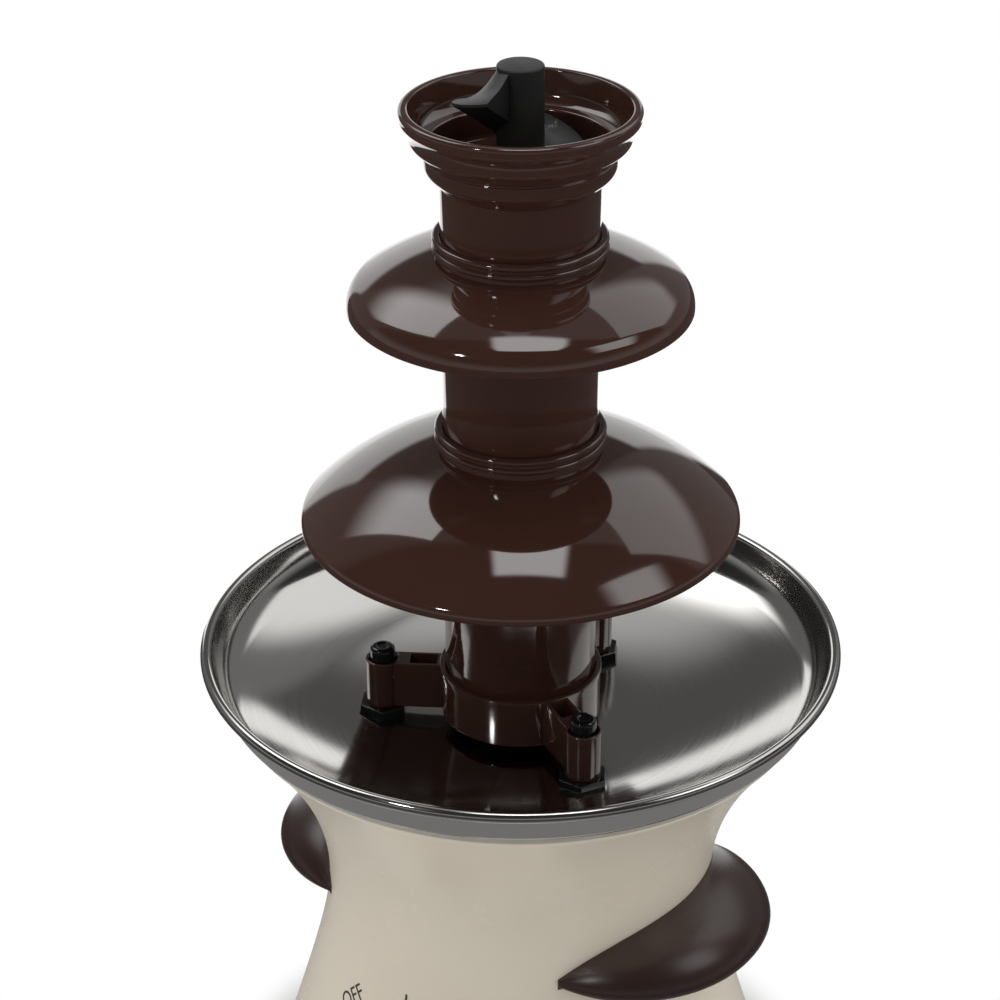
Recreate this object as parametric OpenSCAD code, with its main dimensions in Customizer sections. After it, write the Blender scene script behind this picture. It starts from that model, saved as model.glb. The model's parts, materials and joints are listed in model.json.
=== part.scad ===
// Table-top chocolate fountain: a three-tier tower and a lifting auger over a heated bowl,
// on a waisted base that holds the heater, the gear motor and the rotary switch.
// Millimetres, +Z up, front towards -Y, origin on the table below the middle of the base.

/* [Base shell] */
// Height of the rubber feet under the base
foot_h = 6; // [4:0.5:10]
// Height of the shell from its lower edge to its upper edge
shell_h = 169.6; // [160:0.2:190]
// Radius of the shell's upper edge
shell_top_r = 96.3; // [93:0.1:97.5]
// Radius of the shell at its waist
shell_waist_r = 65.5; // [64:0.5:72]
// Height of the waist above the lower edge
shell_waist_h = 97; // [90:1:104]
// Radius of the shell's lower edge
shell_foot_r = 90; // [86:0.5:100]
// Softness of the waist's curve
shell_waist_soft = 9; // [6:0.5:14]
// Thickness of the shell's wall
shell_wall = 2.6; // [2:0.1:3.2]

/* [Bowl] */
// Outer radius over the rolled rim
bowl_rim_r = 105; // [102:0.5:110]
// Diameter of the rolled rim
bowl_bead_d = 3.6; // [2.8:0.2:5]
// Radius of the flat middle of the floor
bowl_flat_r = 30; // [28:0.5:36]
// Radius where the line of the dish's edge meets the level of the floor
bowl_bend_r = 62; // [60:0.5:64]
// Radius where the wall meets the dished floor
bowl_corner_r = 98.6; // [97.5:0.1:100]
// Rise of the dished floor from its middle to the corner
bowl_dish_h = 18.5; // [15:0.5:22]
// Height of the wall from the corner to the middle of the rim
bowl_wall_h = 11.6; // [9:0.2:16]
// Thickness of the sheet steel
bowl_sheet = 0.8; // [0.6:0.1:1.2]
// Thickness of the gasket between the shell and the bowl
gasket_h = 1; // [0.8:0.1:2]

/* [Tower] */
// Outer radius of the tower's tubes
tube_r = 24.8; // [24.2:0.1:26]
// Wall of the tubes
tube_wall = 2.8; // [2.2:0.1:3]
// Radial clearance of a tube in the collar below it
plug_clear = 0.1; // [0.05:0.05:0.3]
// Depth of a tube in the collar below it
plug_depth = 12; // [8:0.5:14]
// Wall of the collars round the plugged tubes
collar_wall = 1.4; // [1.2:0.1:2]
// Radius of the beads round the collars
collar_bead_r = 1; // [0.6:0.1:1.2]
// Height of the large tier's rim above the tower foot
large_rim_h = 55.6; // [50:0.2:64]
// Radius of the large tier's rim
large_rim_r = 70.5; // [66:0.5:78]
// Mean slope of the large tier in degrees
large_slope = 27.8; // [24:0.2:31]
// How far its slope goes from the mean at the collar and at the edge
large_bow = 16.5; // [12:0.5:18]
// Rounding of the large tier's edge
large_edge_r = 4; // [3.4:0.2:6]
// Height of the large tier's collar above its dome
large_collar_h = 7; // [6:0.2:10]
// Height of the medium tier's rim above the large tier's collar
medium_rim_h = 41.7; // [37:0.1:50]
// Radius of the medium tier's rim
medium_rim_r = 54.1; // [50:0.1:60]
// Mean slope of the medium tier in degrees
medium_slope = 21.8; // [19:0.2:25]
// How far its slope goes from the mean at the collar and at the edge
medium_bow = 11.8; // [9:0.2:14]
// Rounding of the medium tier's edge
medium_edge_r = 8.8; // [6:0.2:10]
// Height of the medium tier's collar above its dome
medium_collar_h = 6.4; // [5.6:0.2:9]
// Thickness of the domes
dome_wall = 2.2; // [1.6:0.1:2.6]
// Height of the crown's rim above the medium tier's collar
crown_rim_h = 40.7; // [36:0.1:48]
// Outer radius of the crown's rim
crown_rim_r = 36.9; // [35:0.1:40]
// Depth of the crown's cup below its rim
cup_depth = 7.4; // [6:0.2:9]
// Height of the crown's rim above the band round its neck
crown_flare_h = 15.2; // [13.6:0.2:17]
// Height of the tower foot's collar
foot_collar_h = 16.8; // [15:0.2:20]
// Width of the tower foot's arms
foot_arm_w = 8.5; // [8:0.1:10]
// Outer diameter of the bosses on the arms
foot_boss_d = 11.6; // [11.4:0.1:13]
// Clearance of a boss round its locating pin
boss_clear = 0.85; // [0.4:0.05:0.9]

/* [Auger] */
// Outer radius of the flight
auger_r = 20.5; // [19:0.1:21]
// Diameter of the auger's shaft
auger_shaft_d = 13.8; // [13:0.2:16]
// Pitch of the flight
auger_pitch = 34; // [30:0.5:38]
// Height of the flight at the shaft
flight_root_h = 16; // [12:0.5:18]
// Height of the flight at its tip
flight_tip_h = 1.2; // [1:0.1:2.5]
// Height of the flight's tip above the middle of its root
flight_tip_lift = 2; // [0:0.2:4]
// Height of the auger's top above the crown's rim
auger_top_h = 13; // [9:0.5:16]
// Outer radius of the skirt that covers the bush
skirt_r = 11.6; // [11.2:0.1:13]
// Wall of the skirt
skirt_wall = 2; // [1.5:0.1:2.2]

/* [Locating pins] */
// Distance of the pins from the middle
pin_ring_r = 45.8; // [44:0.2:47]
// Diameter of a pin
pin_d = 7.7; // [7:0.1:8]
// Height of a pin above the boss
pin_tip_h = 4.2; // [3:0.2:6]
// Width across the flats of the hexagon below a pin
pin_hex_af = 14.7; // [13:0.1:15.5]
// Height of the hexagon
pin_hex_h = 4; // [3:0.2:6]

/* [Handles] */
// Reach of a handle from the shell
handle_reach = 24.4; // [20:0.2:28]
// Half of the angle that a handle covers
handle_half_angle = 46; // [40:1:50]
// Height of a handle's edge above the shell's lower edge
handle_edge_h = 92.6; // [88:0.2:96]
// Rise of a handle from its edge to its root
handle_rise = 13.4; // [11:0.2:16]
// Thickness of a handle's root
handle_root_t = 10; // [9.6:0.1:11]
// Thickness of a handle's edge
handle_edge_t = 4.6; // [3.5:0.1:5.5]

/* [Control] */
// Diameter of the knob
knob_d = 43; // [38:0.5:46]
// Height of the knob above its well
knob_h = 16; // [15:0.5:20]
// Height of the knob's middle above the shell's lower edge
knob_z = 45; // [42:0.5:50]
// Depth of the well that the knob sits in
well_depth = 3.5; // [2.5:0.1:4]
// Radial gap between the knob and its well
well_gap = 1; // [0.6:0.1:2]
// Angle of the knob's pointer at rest, anticlockwise from the right
pointer_rest = 135; // [90:1:180]

/* [Drive] */
// Diameter of the drive shaft
shaft_d = 8; // [7:0.1:8.4]
// Radial clearance of a turning shaft in its bore
run_clear = 0.05; // [0.02:0.01:0.09]
// Radial clearance of a fixed piece in its hole
fit_clear = 0.05; // [0.02:0.01:0.1]
// Depth of the auger's socket on the shaft
socket_depth = 22; // [16:0.5:28]
// Teeth of the output gear
output_teeth = 48; // [48:1:48]
// Teeth of the idler's pinion
idler_pinion_teeth = 12; // [12:1:12]
// Module of the slow gear pair
slow_module = 1; // [0.95:0.01:1.05]
// Teeth of the idler's gear
idler_gear_teeth = 50; // [50:1:50]
// Teeth of the motor's pinion
motor_pinion_teeth = 10; // [10:1:10]
// Module of the fast gear pair
fast_module = 0.8; // [0.76:0.01:0.84]
// Backlash of the gear teeth
backlash = 0.16; // [0.1:0.02:0.24]
// Height of the hexagon pillars between the bowl and the motor bracket
standoff_h = 24; // [22:0.5:28]
// Thickness of the gearbox plates
plate_t = 2.5; // [2:0.1:3]
// Gap between the gearbox plates
gearbox_h = 18.4; // [18:0.2:20]
// Height of the motor's lamination stack
core_h = 18; // [14:0.5:20]
// Diameter of the rotor
rotor_d = 26; // [24:0.2:26.4]
// Air gap round the rotor
air_gap = 0.5; // [0.3:0.05:0.8]

/* [Heater] */
// Radius of the heating element's ring
element_ring_r = 28; // [27:0.5:30]
// Diameter of the heating element
element_d = 7; // [6:0.1:7.4]
// Thickness of the heater plate
heater_plate_t = 6; // [5:0.2:7]

/* [Hidden] */
$fn = 96;
eps = 0.01;

// Colours
cream = [0.91, 0.89, 0.84];
cocoa = [0.18, 0.12, 0.11];
dark_cocoa = [0.15, 0.1, 0.09];
steel = [0.78, 0.78, 0.78];
black = [0.08, 0.08, 0.08];
white = [0.93, 0.93, 0.9];
brass = [0.8, 0.65, 0.35];
silicone = [0.75, 0.74, 0.7];
copper = [0.72, 0.42, 0.25];
zinc = [0.65, 0.66, 0.68];

// Heights of the base
shell_foot_z = foot_h;
shell_top_z = shell_foot_z + shell_h;
waist_z = shell_foot_z + shell_waist_h;
slope_step = 0.5;
flare = sqrt(pow(shell_foot_r - shell_waist_r + shell_waist_soft, 2) - pow(shell_waist_soft, 2))
    / shell_waist_h;

// Bowl: the dish rests on the gasket over the middle of the shell's upper edge
seat_r = shell_top_r - shell_wall / 2;
gasket_w = shell_wall - 0.5;
dish_tan = bowl_dish_h / (bowl_corner_r - bowl_bend_r);
dish_angle = atan(dish_tan);
dish_run = min(bowl_bend_r - bowl_flat_r, (seat_r - gasket_w / 2 - bowl_bend_r) / cos(dish_angle));
dish_curve_r = dish_run / tan(dish_angle / 2);
bowl_under_z = shell_top_z + gasket_h - (seat_r - bowl_bend_r) * dish_tan;
floor_z = bowl_under_z + bowl_sheet;
corner_z = bowl_under_z + bowl_dish_h;
bead_r = bowl_bead_d / 2;
rim_z = corner_z + bowl_wall_h;
corner_blend_r = 3.6;

// Tower heights
tube_in_r = tube_r - tube_wall;
socket_r = tube_r + plug_clear;
collar_r = socket_r + collar_wall;
foot_z = floor_z + pin_hex_h;
foot_top_z = foot_z + foot_collar_h;
large_rim_z = foot_top_z + large_rim_h;
large_dome_z = dome_top(large_rim_r, large_rim_z, large_slope, large_bow, large_edge_r);
large_top_z = large_dome_z + large_collar_h;
medium_rim_z = large_top_z + medium_rim_h;
medium_dome_z = dome_top(medium_rim_r, medium_rim_z, medium_slope, medium_bow, medium_edge_r);
medium_top_z = medium_dome_z + medium_collar_h;
crown_rim_z = medium_top_z + crown_rim_h;
arm_azimuths = [-60, 60, 180];

// Bush and drive shaft in the bowl
shaft_r = shaft_d / 2;
bush_bore_r = shaft_r + run_clear;
bush_r = 8.4;
bush_stem_r = 8;
bush_flange_r = 13;
bush_flange_h = 2.4;
bush_top_z = floor_z + 15.4;
bush_stem_l = 9;
bush_hole_r = bush_stem_r + 0.2;
bush_nut_af = 22;
bush_nut_h = 5;
seal_h = 4.4;
seal_r = bush_r - 1.6;

// Auger
auger_top_z = crown_rim_z + auger_top_h;
auger_shaft_r = auger_shaft_d / 2;
skirt_in_r = skirt_r - skirt_wall;
skirt_z = floor_z + bush_flange_h + 1.2;
skirt_top_z = bush_top_z + 0.6;
skirt_taper_h = 12;
socket_top_z = skirt_top_z + socket_depth;
shaft_top_z = socket_top_z - 0.2;
shaft_flat = shaft_r * 0.75;
flight_top_mid_z = auger_top_z - 0.4 - flight_root_h / 2;
flight_low_mid_z = skirt_z + flight_root_h / 2;
flight_end_angle = -84;
flight_hollow = 0.8;
flight_turn = (flight_top_mid_z - flight_low_mid_z) / auger_pitch * 360;
flight_step = 18;

// Locating pins and pillars
pin_r = pin_d / 2;
pin_tip_z = foot_top_z + pin_tip_h;
boss_bore_r = pin_r + boss_clear;
stud_r = 2.5;
stud_l = 12;
stud_hole_r = stud_r + 0.2;
pin_seal_h = 1.2;
pin_seal_r = 6;
standoff_af = 9;
standoff_bore_r = stud_r + fit_clear;

// Motor bracket and gearbox
pillar_ring_r = 42;
bracket_top_z = bowl_under_z - pin_seal_h - standoff_h;
bracket_z = bracket_top_z - plate_t;
gear_plate_top_z = bracket_z - gearbox_h;
gear_plate_z = gear_plate_top_z - plate_t;
ear_azimuths = [0, 120, -120];
post_r = 5;
post_l = 36;
post_inset = 6;
post_ring_r = shell_waist_r - shell_wall - post_inset;
ear_r = 6.6;
ear_overlap = 0.7;
plate_edge = 5.2;
bracket_r = max(pin_ring_r + plate_edge, post_ring_r - ear_r + ear_overlap);
gear_plate_r = pillar_ring_r + post_inset;
bearing_r = 7;
bearing_flange_r = 9.5;
bearing_flange_h = 1.5;
pillar_azimuths = [-85, 0, 85, 165];
pillar_r = 4;
tenon_r = 2.4;
pressure_angle = 20;
gear_shift = 0.4;
slow_gap = slow_module * (output_teeth + idler_pinion_teeth) / 2;
fast_gap = fast_module * (idler_gear_teeth + motor_pinion_teeth) / 2;
idler_angle = 143.13;
idler_pos = slow_gap * [cos(idler_angle), sin(idler_angle)];
motor_pos = idler_pos + [fast_gap, 0];
fast_face = 5;
slow_face = 8;
fast_z = gear_plate_top_z + 1.8;
slow_z = bracket_z - 1.4 - slow_face;
idler_pin_r = 2;
idler_bore_r = idler_pin_r + run_clear;
hub_r = 8.4;
washer_h = 0.6;
thrust_gap = 0.3;
hub_z = gear_plate_top_z + washer_h + thrust_gap;
hub_wall = 1.5;
gear_rim_w = 5;
web_depth = 2.5;
gear_pin_r = 1.25;
gear_pin_z = (hub_z + slow_z) / 2;
clip_h = 1;
clip_r = 6.8;
shaft_z = gear_plate_z - bearing_flange_h - thrust_gap - clip_h - 1;

// Motor below the gearbox
spacer_l = 9.4;
core_top_z = gear_plate_z - spacer_l;
core_z = core_top_z - core_h;
core_w = 46;
core_rear = 20;
core_front = 42;
leg_t = 10;
window_w = 28;
window_l = 15;
coil_t = 7.6;
coil_clear = 0.15;
coil_l = window_w - 0.6;
rotor_r = rotor_d / 2;
core_bore_r = rotor_r + air_gap;
rotor_shaft_r = 2.5;
end_ring_h = 2.4;
bridge_t = 3;
bridge_gap = end_ring_h + 1.4;
bridge_z = core_z - bridge_gap - bridge_t;
screw_x = 18;
screw_ys = [14, -37];
motor_screw_r = 1.9;
screw_hole_r = motor_screw_r + 0.1;
spacer_r = 4;

// Small screws
head_r = 3.8;
head_h = 2.4;
small_screw_r = 1.6;
small_hole_r = small_screw_r + 0.1;
pass_hole_r = small_screw_r + 0.4;
screw_spare = 3;
bracket_screw_l = 11;

// Bottom cover
cover_t = 2.6;
cover_gap = 0.5;
cover_z = shell_foot_z + 0.4;
cover_top_z = cover_z + cover_t;
cover_r = inner_r(cover_top_z) - cover_gap;
cover_post_ring_r = cover_r - 12;
cover_post_r = 5;
cover_azimuths = [45, 135, 225, 315];
foot_azimuths = [0, 90, 180, 270];
foot_ring_r = cover_r - 13;
foot_pad_r = 9;
foot_stem_r = 3;
cover_screw_l = 12;
terminal_l = 36;
terminal_w = 18;
terminal_h = 14;
terminal_y = 36;
wire_hole_r = 2;
wire_hole_z = 6;
clamp_hole_r = 2.2;
clamp_offset = 4;
vent_count = 20;
vent_w = 3;
vent_in_r = 34;
vent_l = 24;

// Control knob: its frame stands square to the shell's flare at the front
knob_mid_z = shell_foot_z + knob_z;
knob_tilt = atan(-shell_slope(knob_mid_z));
knob_r = knob_d / 2;
well_r = knob_r + well_gap;
well_wall = 2;
well_proud = 1.2;
switch_wall = 3.5;
switch_w = 26;
switch_l = 16;
bushing_r = 4.9;
switch_shaft_r = 3;
switch_shaft_flat = 2.2;
switch_nut_af = 13;
switch_nut_h = 2.4;
knob_lift = 0.6;
knob_hollow_r = 9.6;
knob_cap_t = 4;
grip_w = 9;
grip_h = 9;

// Cord gland at the rear
gland_mid_z = shell_foot_z + 22;
gland_tilt = atan(-shell_slope(gland_mid_z));
gland_r = 6;
gland_flange_r = 8.4;
gland_flange_h = 2;
gland_bore_r = 3.5;
gland_pad_r = 10;
gland_pad_h = 1;
gland_seat = 5;

// Handles
handle_gap = 0.15;
handle_edge_z = shell_foot_z + handle_edge_h;
handle_steps = 28;
handle_tip = 0.985;
handle_horn_w = 0.6;
handle_horn_t = 3;
handle_horn_h = 1;
handle_horn_rise = 0.8;
handle_taper = 14;
handle_curve = 1.7;
handle_plan = 2.1;
handle_arch = 2.8;
handle_screw_angle = 15;
handle_screw_z = handle_edge_z + handle_rise - handle_root_t / 2;
handle_screw_l = 8;

// Profile helpers
function unit(v) = v / norm(v);
function left(v) = [-v.y, v.x];
function reverse(l) = [for (i = [len(l) - 1 : -1 : 0]) l[i]];
function arc(c, r, a0, a1, n = 8) =
    [for (i = [0 : n]) let (a = a0 + (a1 - a0) * i / n) c + r * [cos(a), sin(a)]];
function turn(a) = a > 180 ? a - 360 : a < -180 ? a + 360 : a;
// Round corner p1 between p0 and p2
function fillet(p0, p1, p2, r, n = 8) =
    let (
        a = unit(p0 - p1),
        b = unit(p2 - p1),
        half = acos(a * b) / 2,
        c = p1 + unit(a + b) * r / sin(half),
        q0 = p1 + a * r / tan(half) - c,
        q1 = p1 + b * r / tan(half) - c,
        s = atan2(q0.y, q0.x)
    )
    arc(c, r, s, s + turn(atan2(q1.y, q1.x) - s), n);
// Path moved sideways to its left by d
function shifted(p, d) =
    [for (i = [0 : len(p) - 1])
        let (
            n1 = left(unit(p[max(i, 1)] - p[max(i, 1) - 1])),
            n2 = left(unit(p[min(i + 1, len(p) - 1)] - p[min(i, len(p) - 2)]))
        )
        p[i] + d * (n1 + n2) / (1 + n1 * n2)];
function polar(r, azimuth) = [r * sin(azimuth), -r * cos(azimuth)];

// Radius and slope of the shell's outer surface: a parabola above the waist, a hyperbola below
function shell_r(z) =
    let (up = (z - waist_z) / (shell_top_z - waist_z), down = flare * (waist_z - z))
    z > waist_z
        ? shell_waist_r + (shell_top_r - shell_waist_r) * up * up
        : shell_waist_r + sqrt(pow(shell_waist_soft, 2) + down * down) - shell_waist_soft;
function shell_slope(z) = (shell_r(z + slope_step) - shell_r(z - slope_step)) / (2 * slope_step);
function inner_r(z) = shell_r(z) - shell_wall * sqrt(1 + pow(shell_slope(z), 2));

// Centre and radius of a dome's bow, which runs from its rounded edge to its collar
function dome_bow(rim_r, rim_z, slope, bow, edge_r) =
    let (
        out = [sin(slope + bow), cos(slope + bow)],
        edge = [rim_r - edge_r, rim_z] + edge_r * out,
        r = (edge.x - collar_r) / (out.x - sin(slope - bow))
    )
    [edge - r * out, r];
// Height at which a dome meets its collar
function dome_top(rim_r, rim_z, slope, bow, edge_r) =
    let (b = dome_bow(rim_r, rim_z, slope, bow, edge_r))
    b[0].y + b[1] * cos(slope - bow);

// Solid between rings of points that run round the same way
module loft(rings) {
    m = len(rings[0]);
    n = len(rings);
    points = [for (ring = rings) each ring];
    sides = [for (i = [0 : n - 2], j = [0 : m - 1])
        let (a = i * m + j, b = i * m + (j + 1) % m)
        each [[a, b + m, b], [a, a + m, b + m]]];
    first = [for (j = [1 : m - 2]) [0, j, j + 1]];
    last = [for (j = [1 : m - 2]) (n - 1) * m * [1, 1, 1] + [0, j + 1, j]];
    polyhedron(points, concat(first, sides, last));
}

module ring(r_out, r_in, h, z) {
    translate([0, 0, z])
        difference() {
            cylinder(r = r_out, h = h);
            translate([0, 0, -eps])
                cylinder(r = r_in, h = h + 2 * eps);
        }
}

module hex(af, h) {
    cylinder(r = af / 2 / cos(30), h = h, $fn = 6);
}

// Cap screw standing on the XY plane with its head above it and its shank below
module screw(r, l) {
    difference() {
        cylinder(r = head_r, h = head_h);
        translate([0, 0, head_h - 1.2])
            hex(3, 2);
    }
    translate([0, 0, -l])
        cylinder(r = r, h = l + eps);
}

// Involute gear outline
function inv(a) = tan(a) * 180 / PI - a;
function half_tooth(r, rp, rb, s) =
    s / (2 * rp) * 180 / PI + inv(pressure_angle) - inv(acos(min(1, rb / max(r, rb))));
module gear_2d(teeth, m, shift) {
    rp = m * teeth / 2;
    rb = rp * cos(pressure_angle);
    s = m * (PI / 2 + 2 * shift * tan(pressure_angle)) - backlash / 2;
    root = rp - m * (1.25 - shift);
    tip = rp + m * (1 + shift) - 0.05 * m;
    start = max(root + 0.05 * m, rb);
    flank = [root, for (i = [0 : 4]) start + (tip - start) * i / 4];
    polygon([for (t = [0 : teeth - 1], side = [-1, 1], k = [0 : len(flank) - 1])
        let (
            r = side < 0 ? flank[k] : flank[len(flank) - 1 - k],
            a = 360 * t / teeth + side * half_tooth(r, rp, rb, s)
        )
        r * [cos(a), sin(a)]]);
}
module gear(teeth, m, shift, h) {
    linear_extrude(h)
        gear_2d(teeth, m, shift);
}

module at_azimuths(list, r) {
    for (a = list)
        translate([each polar(r, a), 0])
            rotate([0, 0, a])
                children();
}
module at_knob() {
    translate([0, -shell_r(knob_mid_z), knob_mid_z])
        rotate([90 - knob_tilt, 0, 0])
            children();
}
module at_gland() {
    translate([0, shell_r(gland_mid_z), gland_mid_z])
        rotate([90 - gland_tilt, 0, 180])
            children();
}

// Base
shell_steps = 14;
shell_line = concat(
    [for (i = [0 : shell_steps])
        let (z = shell_foot_z + (waist_z - shell_foot_z) * i / shell_steps) [shell_r(z), z]],
    [for (i = [1 : shell_steps])
        let (z = waist_z + (shell_top_z - waist_z) * i / shell_steps) [shell_r(z), z]]);
module shell_solid() {
    rotate_extrude()
        polygon(concat([[0, shell_foot_z]], shell_line, [[0, shell_top_z]]));
}
module shell_skin() {
    rotate_extrude()
        polygon(concat(shell_line, reverse([for (p = shifted(shell_line, shell_wall))
            [p.x, min(max(p.y, shell_foot_z), shell_top_z)]])));
}
// Screw posts and their ribs, cut off at the shell's outer surface
module shell_posts() {
    intersection() {
        shell_solid();
        union() {
            at_azimuths(ear_azimuths, post_ring_r)
                translate([0, 0, bracket_z - post_l]) {
                    cylinder(r = post_r, h = post_l);
                    translate([-1.5, -12, 0])
                        cube([3, 12, post_l - 2]);
                }
            at_azimuths(cover_azimuths, cover_post_ring_r)
                translate([0, 0, cover_top_z]) {
                    cylinder(r = cover_post_r, h = waist_z - cover_top_z - 30);
                    translate([-1.5, -20, 4])
                        cube([3, 20, 28]);
                }
        }
    }
}
module base_shell() {
    color(cream)
        difference() {
            union() {
                shell_skin();
                shell_posts();
                at_knob()
                    translate([0, 0, -well_depth - switch_wall])
                        cylinder(r = well_r + well_wall,
                            h = well_depth + switch_wall + well_proud);
                at_gland()
                    translate([0, 0, -gland_seat])
                        cylinder(r = gland_pad_r, h = gland_seat + gland_pad_h);
            }
            at_knob() {
                translate([0, 0, -well_depth])
                    cylinder(r = well_r, h = well_depth + 20);
                translate([0, 0, -20])
                    cylinder(r = bushing_r + fit_clear, h = 30);
            }
            at_gland()
                translate([0, 0, -20])
                    cylinder(r = gland_r + fit_clear, h = 30);
            at_azimuths(ear_azimuths, post_ring_r)
                translate([0, 0, bracket_z - bracket_screw_l - screw_spare])
                    cylinder(r = small_hole_r, h = bracket_screw_l + screw_spare + 1);
            at_azimuths(cover_azimuths, cover_post_ring_r)
                translate([0, 0, cover_z])
                    cylinder(r = small_hole_r, h = cover_screw_l + screw_spare);
            handle_screw_places()
                translate([0, 0, -10])
                    cylinder(r = pass_hole_r, h = 20);
        }
}
module bottom_cover() {
    color(cocoa)
        translate([0, 0, cover_z])
            linear_extrude(cover_t)
                difference() {
                    circle(r = cover_r);
                    for (i = [0 : vent_count - 1])
                        rotate(360 * (i + 0.5) / vent_count)
                            translate([vent_in_r, -vent_w / 2])
                                square([vent_l, vent_w]);
                    for (a = cover_azimuths)
                        translate(polar(cover_post_ring_r, a))
                            circle(r = pass_hole_r);
                    for (a = foot_azimuths)
                        translate(polar(foot_ring_r, a))
                            circle(r = foot_stem_r + fit_clear);
                }
}
module cover_screws() {
    color(zinc)
        at_azimuths(cover_azimuths, cover_post_ring_r)
            translate([0, 0, cover_z])
                rotate([180, 0, 0])
                    screw(small_screw_r, cover_screw_l);
}
module feet() {
    color(black)
        at_azimuths(foot_azimuths, foot_ring_r)
            rotate_extrude()
                polygon(concat(
                    [[0, 0], [foot_pad_r - 2, 0]],
                    fillet([foot_pad_r - 2, 0], [foot_pad_r - 1, 0], [foot_pad_r, cover_z], 0.8, 4),
                    [[foot_pad_r, cover_z], [foot_stem_r, cover_z], [foot_stem_r, cover_top_z],
                        [foot_stem_r + 1, cover_top_z], [foot_stem_r - 0.6, cover_top_z + 3],
                        [0, cover_top_z + 3]]));
}
module cord_gland() {
    color(black)
        at_gland()
            rotate_extrude()
                polygon([[gland_bore_r, -gland_seat - gland_flange_h],
                    [gland_flange_r - 1, -gland_seat - gland_flange_h],
                    [gland_flange_r, -gland_seat - gland_flange_h + 1],
                    [gland_flange_r, -gland_seat], [gland_r, -gland_seat],
                    [gland_r, gland_pad_h], [gland_flange_r, gland_pad_h],
                    [gland_flange_r, gland_pad_h + 1], [gland_flange_r - 1, gland_pad_h + gland_flange_h],
                    [gland_bore_r, gland_pad_h + gland_flange_h]]);
}
module terminal_block() {
    ways = 3;
    color(white)
        translate([-terminal_l / 2, terminal_y, cover_top_z])
            difference() {
                cube([terminal_l, terminal_w, terminal_h]);
                for (i = [0 : ways - 1])
                    translate([terminal_l * (i + 0.5) / ways, 0, wire_hole_z]) {
                        translate([0, -eps, 0])
                            rotate([-90, 0, 0])
                                cylinder(r = wire_hole_r, h = terminal_w + 2 * eps);
                        for (side = [-1, 1])
                            translate([0, terminal_w / 2 + side * clamp_offset, 0])
                                cylinder(r = clamp_hole_r, h = terminal_h);
                    }
            }
}

// Handles: a visor lofted along the waist, its edge nearly level and its root arched
function handle_section(u) =
    let (
        w = handle_reach * (1 - pow(abs(u), handle_plan)) + handle_horn_w,
        k = min(1, (w + handle_horn_t) / handle_taper),
        rise = handle_rise * (1 - pow(abs(u), handle_arch)) + handle_horn_rise,
        root_z = handle_edge_z + rise,
        low_z = root_z - handle_horn_h - (handle_root_t - handle_horn_h) * k,
        edge_t = handle_edge_t * k,
        top_in = shell_r(root_z) + handle_gap,
        low_in = shell_r(low_z) + handle_gap,
        n = 9,
        top = [for (i = [0 : n])
            let (t = 90 * i / n)
            [top_in + w * pow(sin(t), 2 / handle_curve),
                handle_edge_z + rise * pow(cos(t), 2 / handle_curve)]],
        tip = arc([top_in + w - edge_t / 2, handle_edge_z], edge_t / 2, -25, -120, 4),
        under = [for (i = [1 : 5])
            let (t = i / 6)
            [low_in + (w - edge_t) * (1 - t),
                low_z + (handle_edge_z - edge_t * 0.45 - low_z) * pow(1 - t, 1.6)]]
    )
    concat(top, tip, under, [[low_in, low_z]]);
function handle_ring(u) =
    let (a = u * handle_half_angle)
    [for (p = handle_section(u)) [p.x * cos(a), p.x * sin(a), p.y]];
module handle_form() {
    difference() {
        loft([for (i = [0 : handle_steps])
            handle_ring(handle_tip * sin(-90 + 180 * i / handle_steps))]);
        handle_screw_places()
            translate([0, 0, -10])
                cylinder(r = small_hole_r, h = 10 + handle_screw_l + 1);
    }
}
module handle_screw_places() {
    for (side = [0, 180], a = [-handle_screw_angle, handle_screw_angle])
        rotate([0, 0, side + a])
            translate([shell_r(handle_screw_z), 0, handle_screw_z])
                rotate([0, 90, 0])
                    children();
}
module handle_right() {
    color(dark_cocoa)
        handle_form();
}
module handle_left() {
    color(dark_cocoa)
        rotate([0, 0, 180])
            handle_form();
}
module handle_screws() {
    seat = shell_r(handle_screw_z) - inner_r(handle_screw_z) + 0.15;
    color(zinc)
        handle_screw_places()
            translate([0, 0, -seat])
                rotate([180, 0, 0])
                    screw(small_screw_r, seat + handle_screw_l);
}

// Control
module control_knob() {
    bottom = -well_depth + knob_lift;
    top = bottom + knob_h;
    disc_top = top - grip_h;
    hollow_top = -well_depth + switch_nut_h + 2.2;
    color(cocoa)
        at_knob()
            difference() {
                union() {
                    rotate_extrude()
                        polygon(concat([[0, bottom], [knob_r - 0.4, bottom]],
                            fillet([knob_r, bottom], [knob_r - 0.6, disc_top], [0, disc_top + 0.6], 2.4, 6),
                            [[0, disc_top + 0.6]]));
                    intersection() {
                        rotate([0, 0, pointer_rest])
                            translate([-knob_r, -grip_w / 2, disc_top - 1])
                                cube([2 * knob_r - 1.4, grip_w, grip_h + 1]);
                        rotate_extrude()
                            polygon(concat([[0, disc_top - 1], [knob_r - 1.4, disc_top - 1]],
                                fillet([knob_r - 1.4, disc_top - 1], [knob_r - 2.4, top], [0, top], 4, 6),
                                [[0, top]]));
                    }
                }
                translate([0, 0, bottom - 1])
                    cylinder(r = knob_hollow_r, h = hollow_top - bottom + 1);
                translate([0, 0, bottom - 1])
                    intersection() {
                        cylinder(r = switch_shaft_r + fit_clear, h = top - bottom + 1 - knob_cap_t);
                        translate([-10, -10, 0])
                            cube([20, 10 + switch_shaft_flat + fit_clear, knob_h + 1]);
                    }
                rotate([0, 0, pointer_rest])
                    translate([knob_r * 0.42, -0.9, top - 0.8])
                        cube([knob_r, 1.8, 2]);
            }
}
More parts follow.
